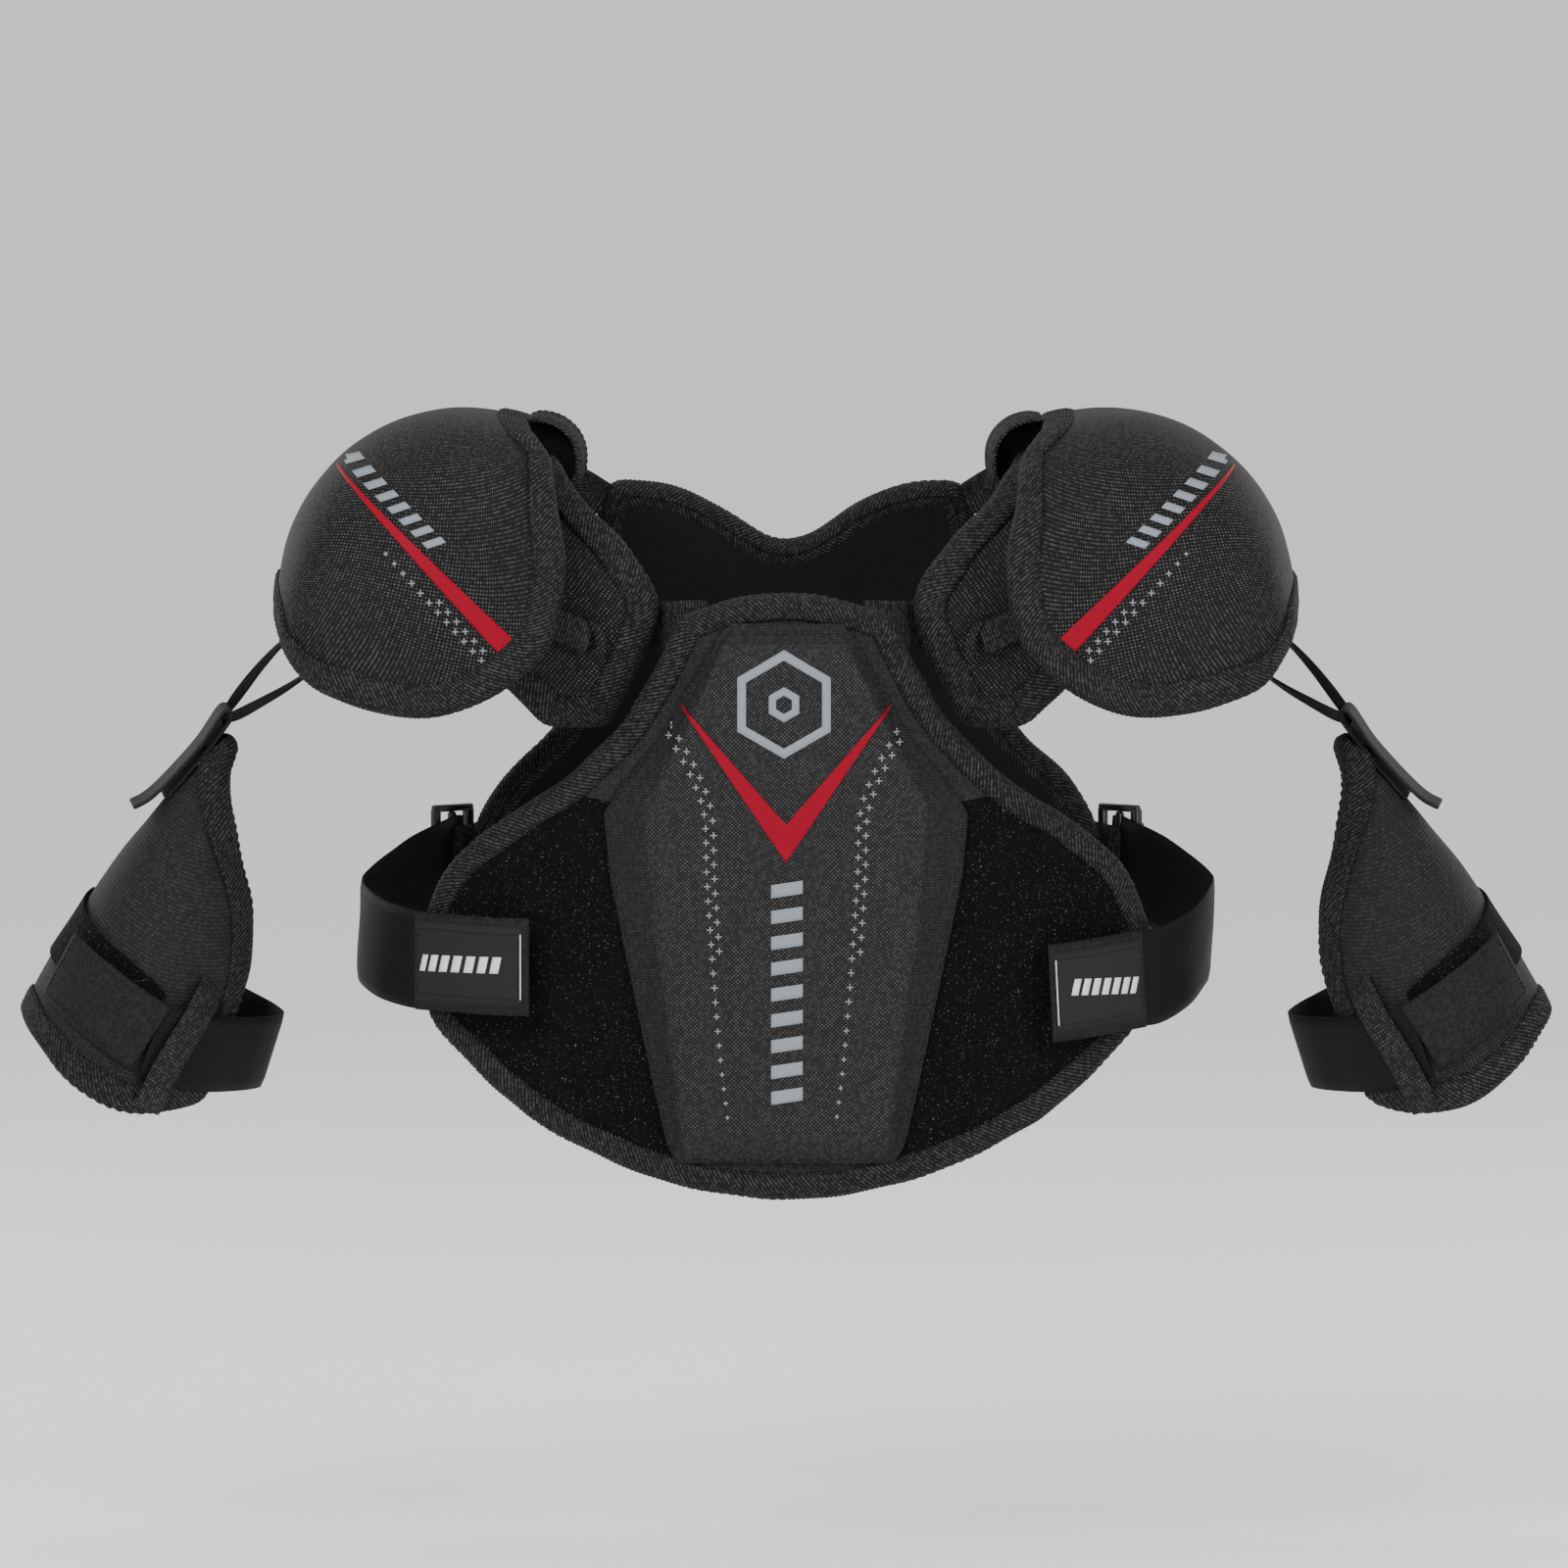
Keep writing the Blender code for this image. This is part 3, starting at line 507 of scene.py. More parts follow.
def plastic(name, value, roughness):
    """A moulded plastic with a fine satin grain."""
    nodes = Nodes(name)
    grain = nodes.noise(700.0, 3.0)
    smear = nodes.noise(18.0, 3.0)
    colour = nodes.blend(smear, grey(value * 0.8), grey(value * 1.3))
    return nodes.finish(colour, smear * 0.18 + (roughness - 0.09), grain, 0.05, specular=0.5)


# Each look is a slot and its material
# Each fabric's second colour is that of the painted highlights on its raised yarns, and the loop
# field's that of its painted glints
NYLON = "padded_nylon", fabric("nylon", dots, 2.6, 0.0032, 0.105, 0.20, 0.66)
MESH = "moulded_panel", fabric("moulded_mesh", basket, 1.5, 0.0075, 0.034, 0.25, 0.66)
LEAF = "padded_nylon", fabric("guard_nylon", basket, 1.9, 0.0070, 0.032, 0.28, 0.66)
PLATE = "moulded_panel", fabric("plate_nylon", dots, 2.0, 0.0078, 0.105, 0.16, 0.60)
TWILL = "twill_binding", fabric("twill_tape", herringbone, 2.3, 0.0028, 0.070, 0.40, 0.72)
HERRING = "twill_binding", fabric("herringbone_tape", herringbone, 2.3, 0.0026, 0.080, 0.45, 0.72)
KNIT = "tricot_liner", fabric("tricot", fine_lines, 0.9, 0.0055, 0.0090, 0.05, 0.80)
ELASTIC = "flat_elastic", fabric("elastic", fine_lines, 1.7, 0.0030, 0.0075, 0.10, 0.66)
WEBBING = "ribbed_webbing", fabric("ribbed_webbing", ribs, 1.7, 0.0035, 0.050, 0.40, 0.70)
BASKET = "ribbed_webbing", fabric("basket_webbing", basket, 1.7, 0.0040, 0.055, 0.40, 0.66)
HOOK = "hook_tab", fabric("hook_tab", twill, 1.6, 0.0055, 0.028, 0.20, 0.66)
PATCH = "hook_tab", fabric("label_patch", fine_lines, 0.7, 0.0120, 0.0160, 0.06, 0.60)
LOOP = "brushed_loop", fuzz("brushed_loop", 0.0024, 0.085)
THREAD = "twill_binding", fabric("thread", twill, 0.5, 0.0080, 0.050, 0.10, 0.60)
SILVER = "moulded_panel", ink("silver_ink", (0.215, 0.240, 0.265), 0.42)
RED = "moulded_panel", ink("red_ink", (0.235, 0.004, 0.016), 0.45)
WHITE = "moulded_panel", ink("white_ink", (0.62, 0.62, 0.62), 0.5)
SHELL = "hard_plastic", plastic("shell_plastic", 0.012, 0.45)
GLOSS = "buckle_plastic", plastic("buckle_plastic", 0.010, 0.22)


# --- making pieces --------------------------------------------------------------------------


def piece(name, points, faces, uvs, looks, body, replaced=(), choices=None):
    """A smooth mesh piece that stands for some CAD nodes and rides on a body, unless it is None."""
    mesh = bpy.data.meshes.new(name)
    mesh.from_pydata((np.asarray(points) * MM).tolist(), [], faces)
    layer = mesh.uv_layers.new(name="UVMap")
    corners = np.empty(len(mesh.loops), int)
    mesh.loops.foreach_get("vertex_index", corners)
    layer.data.foreach_set("uv", (np.asarray(uvs)[corners] * UV_SCALE).ravel())
    for _, material in looks:
        mesh.materials.append(material)
    if choices is not None:
        mesh.polygons.foreach_set("material_index", choices)
    bm = bmesh.new()
    bm.from_mesh(mesh)
    bmesh.ops.recalc_face_normals(bm, faces=bm.faces)
    bm.to_mesh(mesh)
    bm.free()
    return finished(name, mesh, looks[0][0], body, replaced)


def finished(name, mesh, slot, body, replaced):
    """An object of a mesh, with its body and the CAD nodes that it stands for; the slot is not
    used.
    """
    mesh.shade_smooth()
    obj = bpy.data.objects.new(name, mesh)
    bpy.context.scene.collection.objects.link(obj)
    if replaced:
        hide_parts(*replaced)
    if body:
        riders.append((obj, body))
    return obj


def arc_uvs(grid):
    """Coordinates in millimetres across and up a grid, measured along its middle lines."""
    rows, columns = grid.shape[:2]
    across = np.linalg.norm(np.diff(grid, axis=1), axis=2)
    across = np.concatenate([np.zeros((rows, 1)), np.cumsum(across, axis=1)], axis=1)
    across -= across[:, columns // 2:columns // 2 + 1]
    up = travelled(grid[:, columns // 2])
    up -= up[rows // 2]
    return np.stack([across, np.repeat(up[:, None], columns, axis=1)], axis=2).reshape(-1, 2)


def slab(name, outer, inner, looks, body, replaced=(), choose=None):
    """A closed piece between two grids of the same size. choose says which outer faces, given
    their middles, have the second look."""
    rows, columns = outer.shape[:2]
    index = np.arange(rows * columns).reshape(rows, columns)
    quads = np.stack([index[:-1, :-1], index[:-1, 1:], index[1:, 1:], index[1:, :-1]], axis=2)
    quads = quads.reshape(-1, 4)
    edge = ring(index[:, :, None])[:, 0]
    after = np.roll(edge, -1)
    shift = rows * columns
    sides = np.stack([edge, edge + shift, after + shift, after], axis=1)
    faces = np.concatenate([quads, quads[:, ::-1] + shift, sides]).tolist()
    points = np.concatenate([outer.reshape(-1, 3), inner.reshape(-1, 3)])
    uvs = np.tile(arc_uvs(outer), (2, 1))
    choices = None
    if choose is not None:
        front = choose(outer.reshape(-1, 3)[quads].mean(axis=1)).astype(int)
        choices = np.concatenate([front, np.zeros(len(quads) + len(sides), int)])
    return piece(name, points, faces, uvs, looks, body, replaced, choices)


def inflate(obj, held, pressure, reach):
    """Have a slab's outer face swell between its held points when the cloth is simulated."""
    free = np.concatenate([~held.ravel(), np.zeros(held.size, bool)])
    cushions.append((obj, free, pressure, reach))


def simulate():
    """Run every cushion's cloth together, keep what it did up to each one's reach, and drop it."""
    starts = []
    for obj, free, pressure, _ in cushions:
        group = obj.vertex_groups.new(name="held")
        group.add([int(i) for i in np.flatnonzero(~free)], 1.0, "REPLACE")
        cloth = obj.modifiers.new("Cloth", "CLOTH")
        settings = cloth.settings
        settings.quality = 4
        settings.mass = CLOTH_MASS
        settings.tension_stiffness = CLOTH_STIFFNESS
        settings.compression_stiffness = CLOTH_STIFFNESS
        settings.bending_stiffness = CLOTH_BENDING
        settings.use_pressure = True
        settings.uniform_pressure_force = pressure
        settings.effector_weights.gravity = 0
        settings.vertex_group_mass = group.name
        cloth.collision_settings.use_collision = False
        cloth.collision_settings.use_self_collision = False
        cloth.point_cache.frame_start = 1
        cloth.point_cache.frame_end = CLOTH_FRAMES
        starts.append(np.array([v.co for v in obj.data.vertices]))
    for step in range(1, CLOTH_FRAMES + 1):
        bpy.context.scene.frame_set(step)
    graph = bpy.context.evaluated_depsgraph_get()
    for (obj, free, _, reach), start in zip(cushions, starts):
        mesh = obj.evaluated_get(graph).to_mesh()
        move = np.array([v.co for v in mesh.vertices]) - start
        size = np.linalg.norm(move, axis=1, keepdims=True)
        move *= np.minimum(1, reach * MM / np.maximum(size, 1e-9))
        move[~free] = 0
        obj.modifiers.remove(obj.modifiers["Cloth"])
        obj.vertex_groups.clear()
        obj.data.vertices.foreach_set("co", (start + move).ravel())
        obj.data.update()
    bpy.context.scene.frame_set(1)


def subdivide(obj):
    """One level of subdivision, the same in the viewport and the render."""
    levels = obj.modifiers.new("subdivision", "SUBSURF")
    levels.levels = 1
    levels.render_levels = 1


def tape_path(grid, depth):
    """Evenly spaced points round the middle of a pad's edge, with outward directions, smoothed."""
    edge, outward = ring(lift(grid, -depth / 2)), ring(normals(grid))
    here = travelled(np.concatenate([edge, edge[:1]]))
    count = int(here[-1] / TAPE_STEP)
    wanted = np.arange(count) * here[-1] / count
    reach = int(TAPE_EVENING / TAPE_STEP)
    kernel = np.hanning(2 * reach + 3)[1:-1]
    kernel /= kernel.sum()
    lines = []
    for line in (edge, outward):
        values = at_distance(wanted, here, np.concatenate([line, line[:1]]))
        for _ in range(2):
            padded = np.concatenate([values[-reach:], values, values[:reach]])
            values = np.stack([np.convolve(column, kernel, "valid") for column in padded.T], axis=1)
        lines.append(values)
    return wanted, *lines


def binding(name, grid, depth, out, cover, look, body, replaced, pleat, rib=0.28):
    """A tape folded over a pad's edge: its cross-section swept once round, with slanting ribs.

    grid is the pad's outer face cut back by out, depth the thickness of the edge that it covers,
    and cover how far the tape reaches in over the pad. Gathers of height pleat come and go.
    """
    wanted, path, face = tape_path(grid, depth)
    way = unit(np.roll(path, -1, axis=0) - np.roll(path, 1, axis=0))
    side = unit(np.cross(way, face))
    face = unit(np.cross(side, way))
    half = depth / 2 + 1.0
    turn = np.linspace(-math.pi / 2, math.pi / 2, 13)
    bulge = np.stack([out * np.cos(turn), half * np.sin(turn)], axis=1)
    flat = np.linspace(0, -cover, 7)[1:]
    top = np.stack([flat, half - 1.3 * (flat / cover) ** 4], axis=1)
    inner = np.array([[-cover + 1.0, half * 0.55], [-cover + 1.0, -half * 0.55]])
    section = np.concatenate([bulge, top, inner, top[::-1] * [1, -1]])
    around = travelled(section)
    around -= around[6]
    slope = unit(np.roll(section, -1, axis=0) - np.roll(section, 1, axis=0))
    away = np.stack([slope[:, 1], -slope[:, 0]], axis=1)
    s, r = np.broadcast_arrays(wanted[:, None], around[None, :])
    swell = rib * np.sin(2 * math.pi * (s + np.abs(r) * 0.8) / TAPE_RIB_PITCH)
    gathered = smooth(0.5 + 0.5 * np.sin(s / 17.0 + 1.3))
    swell += pleat * gathered * np.sin(2 * math.pi * (s + np.abs(r) * 0.45) / 5.1)
    swell += 0.45 * np.sin(s / 23.0) * np.sin(s / 7.7 + r / 9.0)
    local = section[None] + away[None] * swell[:, :, None]
    points = path[:, None] + side[:, None] * local[:, :, :1] + face[:, None] * local[:, :, 1:]
    index = np.arange(s.size).reshape(s.shape)
    after = np.roll(index, -1, axis=0)
    quads = np.stack([index, np.roll(index, -1, axis=1), np.roll(after, -1, axis=1), after], axis=2)
    uvs = np.stack([s, r], axis=2).reshape(-1, 2)
    stitches(name + "_seam", [(points[:, SEAM_PLACE], face)], body, 3.3, 2.1, 0.30)
    piece(name, points.reshape(-1, 3), quads.reshape(-1, 4).tolist(), uvs, [look], body, replaced)


def across_line(line, direction, width, columns):
    """A grid along a line, with its width along the direction, or along one for each point."""
    steps = np.linspace(-1, 1, columns + 1)[:, None, None]
    return line[None] + direction * (steps * width / 2)


def ribbon(keys, width, across, count, columns=8):
    """A grid along a strap's middle line, with its width along the direction across."""
    direction = np.array(across, float) / np.linalg.norm(across)
    return across_line(curve(keys, count), direction, width, columns)


def strap(name, grid, thickness, look, body, replaced=()):
    """A strap of one thickness with rounded edges, round the grid as its middle."""
    rows, columns = [1 - np.abs(np.linspace(-1, 1, count)) for count in grid.shape[:2]]
    edge = np.minimum(1, rows * 6 + 0.35)[:, None] * np.minimum(1, columns * 30 + 0.5)
    half = edge * thickness / 2
    return slab(name, lift(grid, half), lift(grid, -half), [look], body, replaced)


def stitches(name, lines, body, gap=3.4, length=2.2, radius=0.32):
    """Rows of short thread stitches: each line is (points, outward direction at each point)."""
    points, faces, uvs = [], [], []
    for path, face in lines:
        here = travelled(path)
        for start in np.arange(gap / 2, here[-1] - length, gap):
            ends = at_distance(np.array([start, start + length]), here, path)
            out = unit(at_distance(start, here, face))
            side = np.cross(unit(ends[1] - ends[0]), out)
            base = len(points)
            for share, thick in ((0, 0.25), (0.2, 1), (0.8, 1), (1, 0.25)):
                centre = mix(ends[0], ends[1], share) + out * radius * 0.4 * thick
                for k in range(6):
                    turn = k * math.pi / 3
                    spoke = side * math.cos(turn) + out * math.sin(turn)
                    points.append(centre + spoke * radius * thick)
                    uvs.append((start + share * length, k))
            for j in range(base, base + 18, 6):
                faces += [(j + k, j + (k + 1) % 6, j + (k + 1) % 6 + 6, j + k + 6)
                          for k in range(6)]
            faces.append(tuple(base + k for k in range(5, -1, -1)))
            faces.append(tuple(base + 18 + k for k in range(6)))
    return piece(name, points, faces, uvs, [THREAD], body)


def line_on(grid, share, along_u, first, last):
    """A line over a grid with its outward directions: at a share of v, or of u, from share first
    to share last of the other."""
    face = normals(grid)
    if not along_u:
        grid, face = grid.swapaxes(0, 1), face.swapaxes(0, 1)
    k = round(share * (grid.shape[0] - 1))
    a, b = [round(end * (grid.shape[1] - 1)) for end in (first, last)]
    return grid[k, a:b + 1], face[k, a:b + 1]


def seam_lines(grid, rows, columns, first, last):
    """The lines of a seam just inside a panel's edge, at shares of v and at shares of u."""
    return ([line_on(grid, share, True, first, last) for share in rows]
            + [line_on(grid, share, False, first, last) for share in columns])


def hit(tree, x, z):
    """Where a line from straight ahead meets a piece, raised a little off it, or None."""
    place, normal, _, _ = tree.ray_cast(Vector((x, -200, z)) * MM, Vector((0, 1, 0)))
    if place is None:
        return None
    if normal.y > 0:
        normal = -normal
    return np.array(place / MM + normal * PRINT_LIFT)


def prints(name, target, shapes, look, body):
    """Flat shapes, each four (x, z) corners, laid on what they meet from straight ahead."""
    bm = bmesh.new()
    bm.from_mesh(target.evaluated_get(bpy.context.evaluated_depsgraph_get()).to_mesh())
    tree = BVHTree.FromBMesh(bm)
    bm.free()
    points, faces, uvs, known = [], [], [], {}

    def point_at(place):
        """The number of the point there, which shapes that meet share."""
        key = (round(place[0], 3), round(place[1], 3))
        if key not in known:
            found = hit(tree, *place)
            known[key] = None if found is None else len(points)
            if found is not None:
                points.append(found)
                uvs.append(place)
        return known[key]

    for corners in shapes:
        a, b, c, d = np.array(corners, float)
        columns, rows = [max(1, int(max(np.linalg.norm(p - q), np.linalg.norm(s - t)) / PRINT_CELL))
                         for p, q, s, t in ((a, b, c, d), (a, d, b, c))]
        index = [[point_at(mix(mix(a, b, i / columns), mix(d, c, i / columns), j / rows))
                  for i in range(columns + 1)] for j in range(rows + 1)]
        for low, high in zip(index, index[1:]):
            for cell in zip(low, low[1:], high[1:], high):
                if None not in cell:
                    faces.append(cell)
    obj = piece(name, points, faces, uvs, [look], body)
    skin = obj.modifiers.new("ink", "SOLIDIFY")
    skin.thickness = PRINT_THICKNESS * MM
    skin.offset = 0.0


# --- camera, floor and light ----------------------------------------------------------------


def studio():
    """The camera, a wide pale floor, and soft lights."""
    scene = bpy.context.scene
    data = bpy.data.cameras.new("camera")
    data.sensor_width = SENSOR
    data.lens = SENSOR * VIEW_DISTANCE / VIEW_WIDTH
    data.clip_end = 600.0
    camera = bpy.data.objects.new("camera", data)
    away = Vector((0, -math.cos(VIEW_ELEVATION), math.sin(VIEW_ELEVATION)))
    camera.location = Vector(VIEW_CENTRE) + away * VIEW_DISTANCE
    camera.rotation_euler = (math.pi / 2 - VIEW_ELEVATION, 0, 0)
    scene.collection.objects.link(camera)
    scene.camera = camera

    mesh = bpy.data.meshes.new("floor")
    corners = ((-1, -1), (1, -1), (1, 1), (-1, 1))
    mesh.from_pydata([(x * FLOOR_REACH, y * FLOOR_REACH, FLOOR_Z) for x, y in corners], [],
                     [(0, 1, 2, 3)])
    floor = bpy.data.objects.new("floor", mesh)
    nodes = Nodes("floor")
    cloud = nodes.noise(3.0, 2.0)
    colour = nodes.blend(cloud, grey(0.94), grey(0.96))
    mesh.materials.append(nodes.finish(colour, 0.8, cloud, 0.02))
    scene.collection.objects.link(floor)

    world = bpy.data.worlds.new("studio")
    world.use_nodes = True
    background = world.node_tree.nodes["Background"]
    background.inputs["Color"].default_value = grey(1)
    background.inputs["Strength"].default_value = WORLD_STRENGTH
    scene.world = world
    for name, place, size, power in LIGHTS:
        lamp = bpy.data.lights.new(name, "AREA")
        lamp.size = size
        lamp.energy = power
        obj = bpy.data.objects.new(name, lamp)
        obj.location = place
        aim = Vector(VIEW_CENTRE) - Vector(place)
        obj.rotation_euler = aim.to_track_quat("-Z", "Y").to_euler()
        scene.collection.objects.link(obj)


# --- surfaces, as in the CAD ----------------------------------------------------------------


def torso_y(x, z, depth, top_drop):
    """Half the wearer's depth at a place on the chest or back, as an oval in plan."""
    here = depth - top_drop * ((z - FULLEST_Z) / (BACK_TOP_Z - FULLEST_Z)) ** 2
    return here * np.sqrt(1 - np.minimum(np.abs(x) / TORSO_HALF_WIDTH, 0.99) ** 2)


def panel_place(u, v, inset, edge, top, bottom):
    """Where u and v lie on a pad's flat pattern, which is cut back by inset all round."""
    share = 1 - 2 * inset / (top - bottom)
    t = (1 - v * share) / 2
    here = along(edge, t)
    way = unit(along(edge, t + 0.01) - along(edge, t - 0.01))
    half = here[0] - inset / max(abs(way[1]), 0.45)
    middle = mix(top, bottom, t)
    return half * u, here[1] + (middle - here[1]) * (1 - u * u)


def chest_grid(inset, columns, rows):
    """The chest pad's inner face."""
    def surface(u, v):
        x, z = panel_place(u, v, inset, CHEST_EDGE, CHEST_TOP_Z, CHEST_BOTTOM_Z)
        return x, -torso_y(x, z, CHEST_DEPTH, CHEST_TOP_DROP), z
    return sample(surface, columns, rows)


def back_grid(inset, columns, rows):
    """The back pad's inner face, with the dip for the neck in its top edge."""
    def surface(u, v):
        x, z = panel_place(-u, v, inset, BACK_EDGE, BACK_TOP_Z, BACK_BOTTOM_Z)
        z -= NECK_DIP * math.exp(-((x / NECK_DIP_WIDTH) ** 2)) * ((1 + v) / 2) ** 3
        return x, torso_y(x, z, BACK_DEPTH, BACK_TOP_DROP), z
    return sample(surface, columns, rows)


def arch_grid(inset, columns, rows):
    """The outer face of the arch on the wearer's left, from the chest over the shoulder."""
    def surface(u, v):
        t = 0.5 + v * (0.5 - inset / ARCH_LENGTH)
        y, z = along(ARCH_LINE, t)
        inner, outer = along(ARCH_EDGES, t)
        return mix(inner + inset, outer - inset, (u + 1) / 2), y, z
    return sample(surface, columns, rows)


def cap_point(u, v):
    """The outer face of the cap on the wearer's left: v runs from its front rim to its back rim."""
    lateral = -CAP_HALF_SPAN * u
    crown = math.sqrt(CAP_CROWN_RADIUS ** 2 - lateral ** 2) + CAP_CROWN_HEIGHT - CAP_CROWN_RADIUS
    end = along(CAP_RIM, (1 - u) / 2)
    end_y = mix(CAP_CORNER_Y, CAP_FRONT, math.sqrt(max(1 - abs(u) ** CAP_CORNER, 0.0)))
    share = min(abs(v), 1.0)
    near, far = share ** 1.5, (1 - share) ** 1.5
    angle = math.pi / 2 * near / (near + far)
    out = math.sin(angle) ** (2 / CAP_SQUARENESS)
    down = 1 - max(math.cos(angle), 0.0) ** (2 / CAP_SQUARENESS)
    lateral, height = mix(lateral, end[0], down), mix(crown, end[1], down)
    c, s = math.cos(CAP_TILT), math.sin(CAP_TILT)
    return np.array([CAP_CENTRE[0] - lateral * c + height * s, math.copysign(end_y * out, v),
                     CAP_CENTRE[1] + lateral * s + height * c])


def cap_share(u, inset):
    """The share of a line over the cap left when its rim is cut back by inset."""
    line = [cap_point(u, -i / 8) for i in range(9)]
    edge = cap_point(min(u + 0.02, 1), -1) - cap_point(max(u - 0.02, -1), -1)
    way = line[-1] - line[-2]
    slant = np.linalg.norm(edge) * np.linalg.norm(way) / np.linalg.norm(np.cross(edge, way))
    return 1 - inset * min(slant, 2.2) / travelled(line)[-1]


def cap_grid(inset, columns, rows):
    """The cap's outer face, cut back by inset all round."""
    us = np.linspace(-1, 1, columns + 1) * (1 - inset / CAP_ARC)
    shares = [cap_share(u, inset) for u in us]
    return np.array([[cap_point(u, v * k) for u, k in zip(us, shares)]
                     for v in np.linspace(-1, 1, rows + 1)])


def guard_point(degrees, height, down):
    """A place on the guard: degrees round the arm (front negative), height above its outer face."""
    radius, shift, _ = along(GUARD_ROWS, min(down / GUARD_SPAN, 1.0))
    turn = math.radians(degrees)
    out = shift + (radius + height) * math.cos(turn)
    c, s = math.cos(GUARD_LEAN), math.sin(GUARD_LEAN)
    return np.array([GUARD_TOP[0] + s * down + c * out, (radius + height) * math.sin(turn),
                     GUARD_TOP[1] - c * down + s * out])


def guard_grid(inset, columns, rows, top=0.0):
    """The guard's outer face on the wearer's left, cut back by inset, and by a share of its top."""
    def surface(u, v):
        share = mix(1, top, (1 + v) / 2)
        radius, _, wrap = along(GUARD_ROWS, share)
        turn = u * (wrap - math.degrees(inset / radius))
        bottom = GUARD_LENGTH + GUARD_POINT * math.sin(math.radians(turn)) ** 2 - inset
        return guard_point(turn, 0, mix(inset, bottom, share))
    return sample(surface, columns, rows)


def guard_ribbon(keys, width, count, side, columns=8):
    """A grid for a strap laid on the guard, its middle line given as (degrees, height, down)."""
    places = curve(keys, count)
    line, above = [np.array([guard_point(*(place + [0, height, 0])) for place in places])
                   for height in (0, 1)]
    across = unit(np.cross(above - line, unit(np.gradient(line, axis=0))))
    return on_side(across_line(line, across[None], width, columns), side)


# --- chest and back -------------------------------------------------------------------------


def sternum_half(z):
    """Half the sternum plate's width, and half its raised face's, at each height."""
    rows = np.array(STERNUM_ROWS, float)[::-1]
    return np.interp(z, rows[:, 0], rows[:, 1]), np.interp(z, rows[:, 0], rows[:, 2])


def build_sternum():
    """The moulded plate: a soft-edged dome with a flat face, sewn down round a thin rim."""
    z = np.linspace(PLATE_BOTTOM_Z, PLATE_TOP_Z, 111)[:, None]
    half, face = sternum_half(z)
    half = half - 4 * np.clip((np.abs(z + 152) - 125) / 13, 0, 1) ** 2
    x = np.linspace(-1, 1, 81)[None, :] * half
    z = np.broadcast_to(z, x.shape)
    inside = half - PLATE_RIM
    slope = np.clip((inside - np.abs(x)) / np.maximum(inside - face, 1), 0, 1)
    ends = np.minimum(np.clip((COLLAR_Z + 3 - z) / 10, 0, 1), np.clip((z + 286) / 9, 0, 1))
    rise = blurred(PLATE_RISE * np.minimum(slope ** 0.85, np.sqrt(ends)), 9)
    ridge = np.exp(-((np.abs(x) - face) / 3.0) ** 2) * smooth(ends * 1.2)
    front = -torso_y(x, z, CHEST_DEPTH, CHEST_TOP_DROP)
    grid = np.stack([x, front - (FOAM_TOP + 2.6 + rise + 0.7 * ridge), z], axis=-1)
    grid[..., 1] -= 0.35 * wobble(grid, 26.0, 0.4)
    base = np.stack([x, front - (FOAM_TOP + 0.4), z], axis=-1)

    def sloping(middles):
        _, flat = sternum_half(middles[:, 2])
        return (np.abs(middles[:, 0]) > flat + 3) | (middles[:, 2] > COLLAR_Z)
    plate = slab("sternum_plate_cover", grid, base, [PLATE, MESH], "chest",
                 ["sternum_plate", "sternum_insert"], sloping)
    lines = seam_lines(grid, (0.012, 0.985), (0.012, 0.988), 0.02, 0.98)
    stitches("sternum_stitching", lines, "chest")
    return plate


def build_chest():
    """Cover, lining, binding and stitching of the chest pad."""
    grid = chest_grid(PAD_INSET, 84, 72)
    outer = lift(grid, FOAM_TOP + 0.3 + 0.5 * wobble(grid, 34.0, 1.0))
    half, _ = sternum_half(grid[..., 2])
    under = (np.abs(grid[..., 0]) < half - 2) & (grid[..., 2] > -292)

    def napped(middles):
        edge, _ = sternum_half(middles[:, 2])
        row = np.arange(len(middles)) // (grid.shape[1] - 1)
        return (row < LOOP_ROWS) & (np.abs(middles[:, 0]) > edge - 5) & (middles[:, 2] > -289)
    pad = slab("chest_pad", outer, lift(grid, 1.9), [(LOOP[0], MESH[1]), LOOP], "chest",
               ["chest_foam", "chest_loop_left", "chest_loop_right"], napped)
    inflate(pad, rim_of(grid) | under, 2.2, 2.0)
    quilt = 1.2 * (1 - np.abs(np.cos(grid[..., 0] / 36 * math.pi / 2)) ** 8)
    slab("chest_lining", lift(grid, LINING_TOP), lift(grid, 1.2 - quilt), [KNIT], "chest",
         ["chest_liner"])
    depth = FOAM_TOP + 1.0
    binding("chest_binding_tape", lift(chest_grid(EDGE_INSET, 60, 60), depth), depth, EDGE_INSET,
            7.5, TWILL, "chest", ["chest_binding"], 0.30)


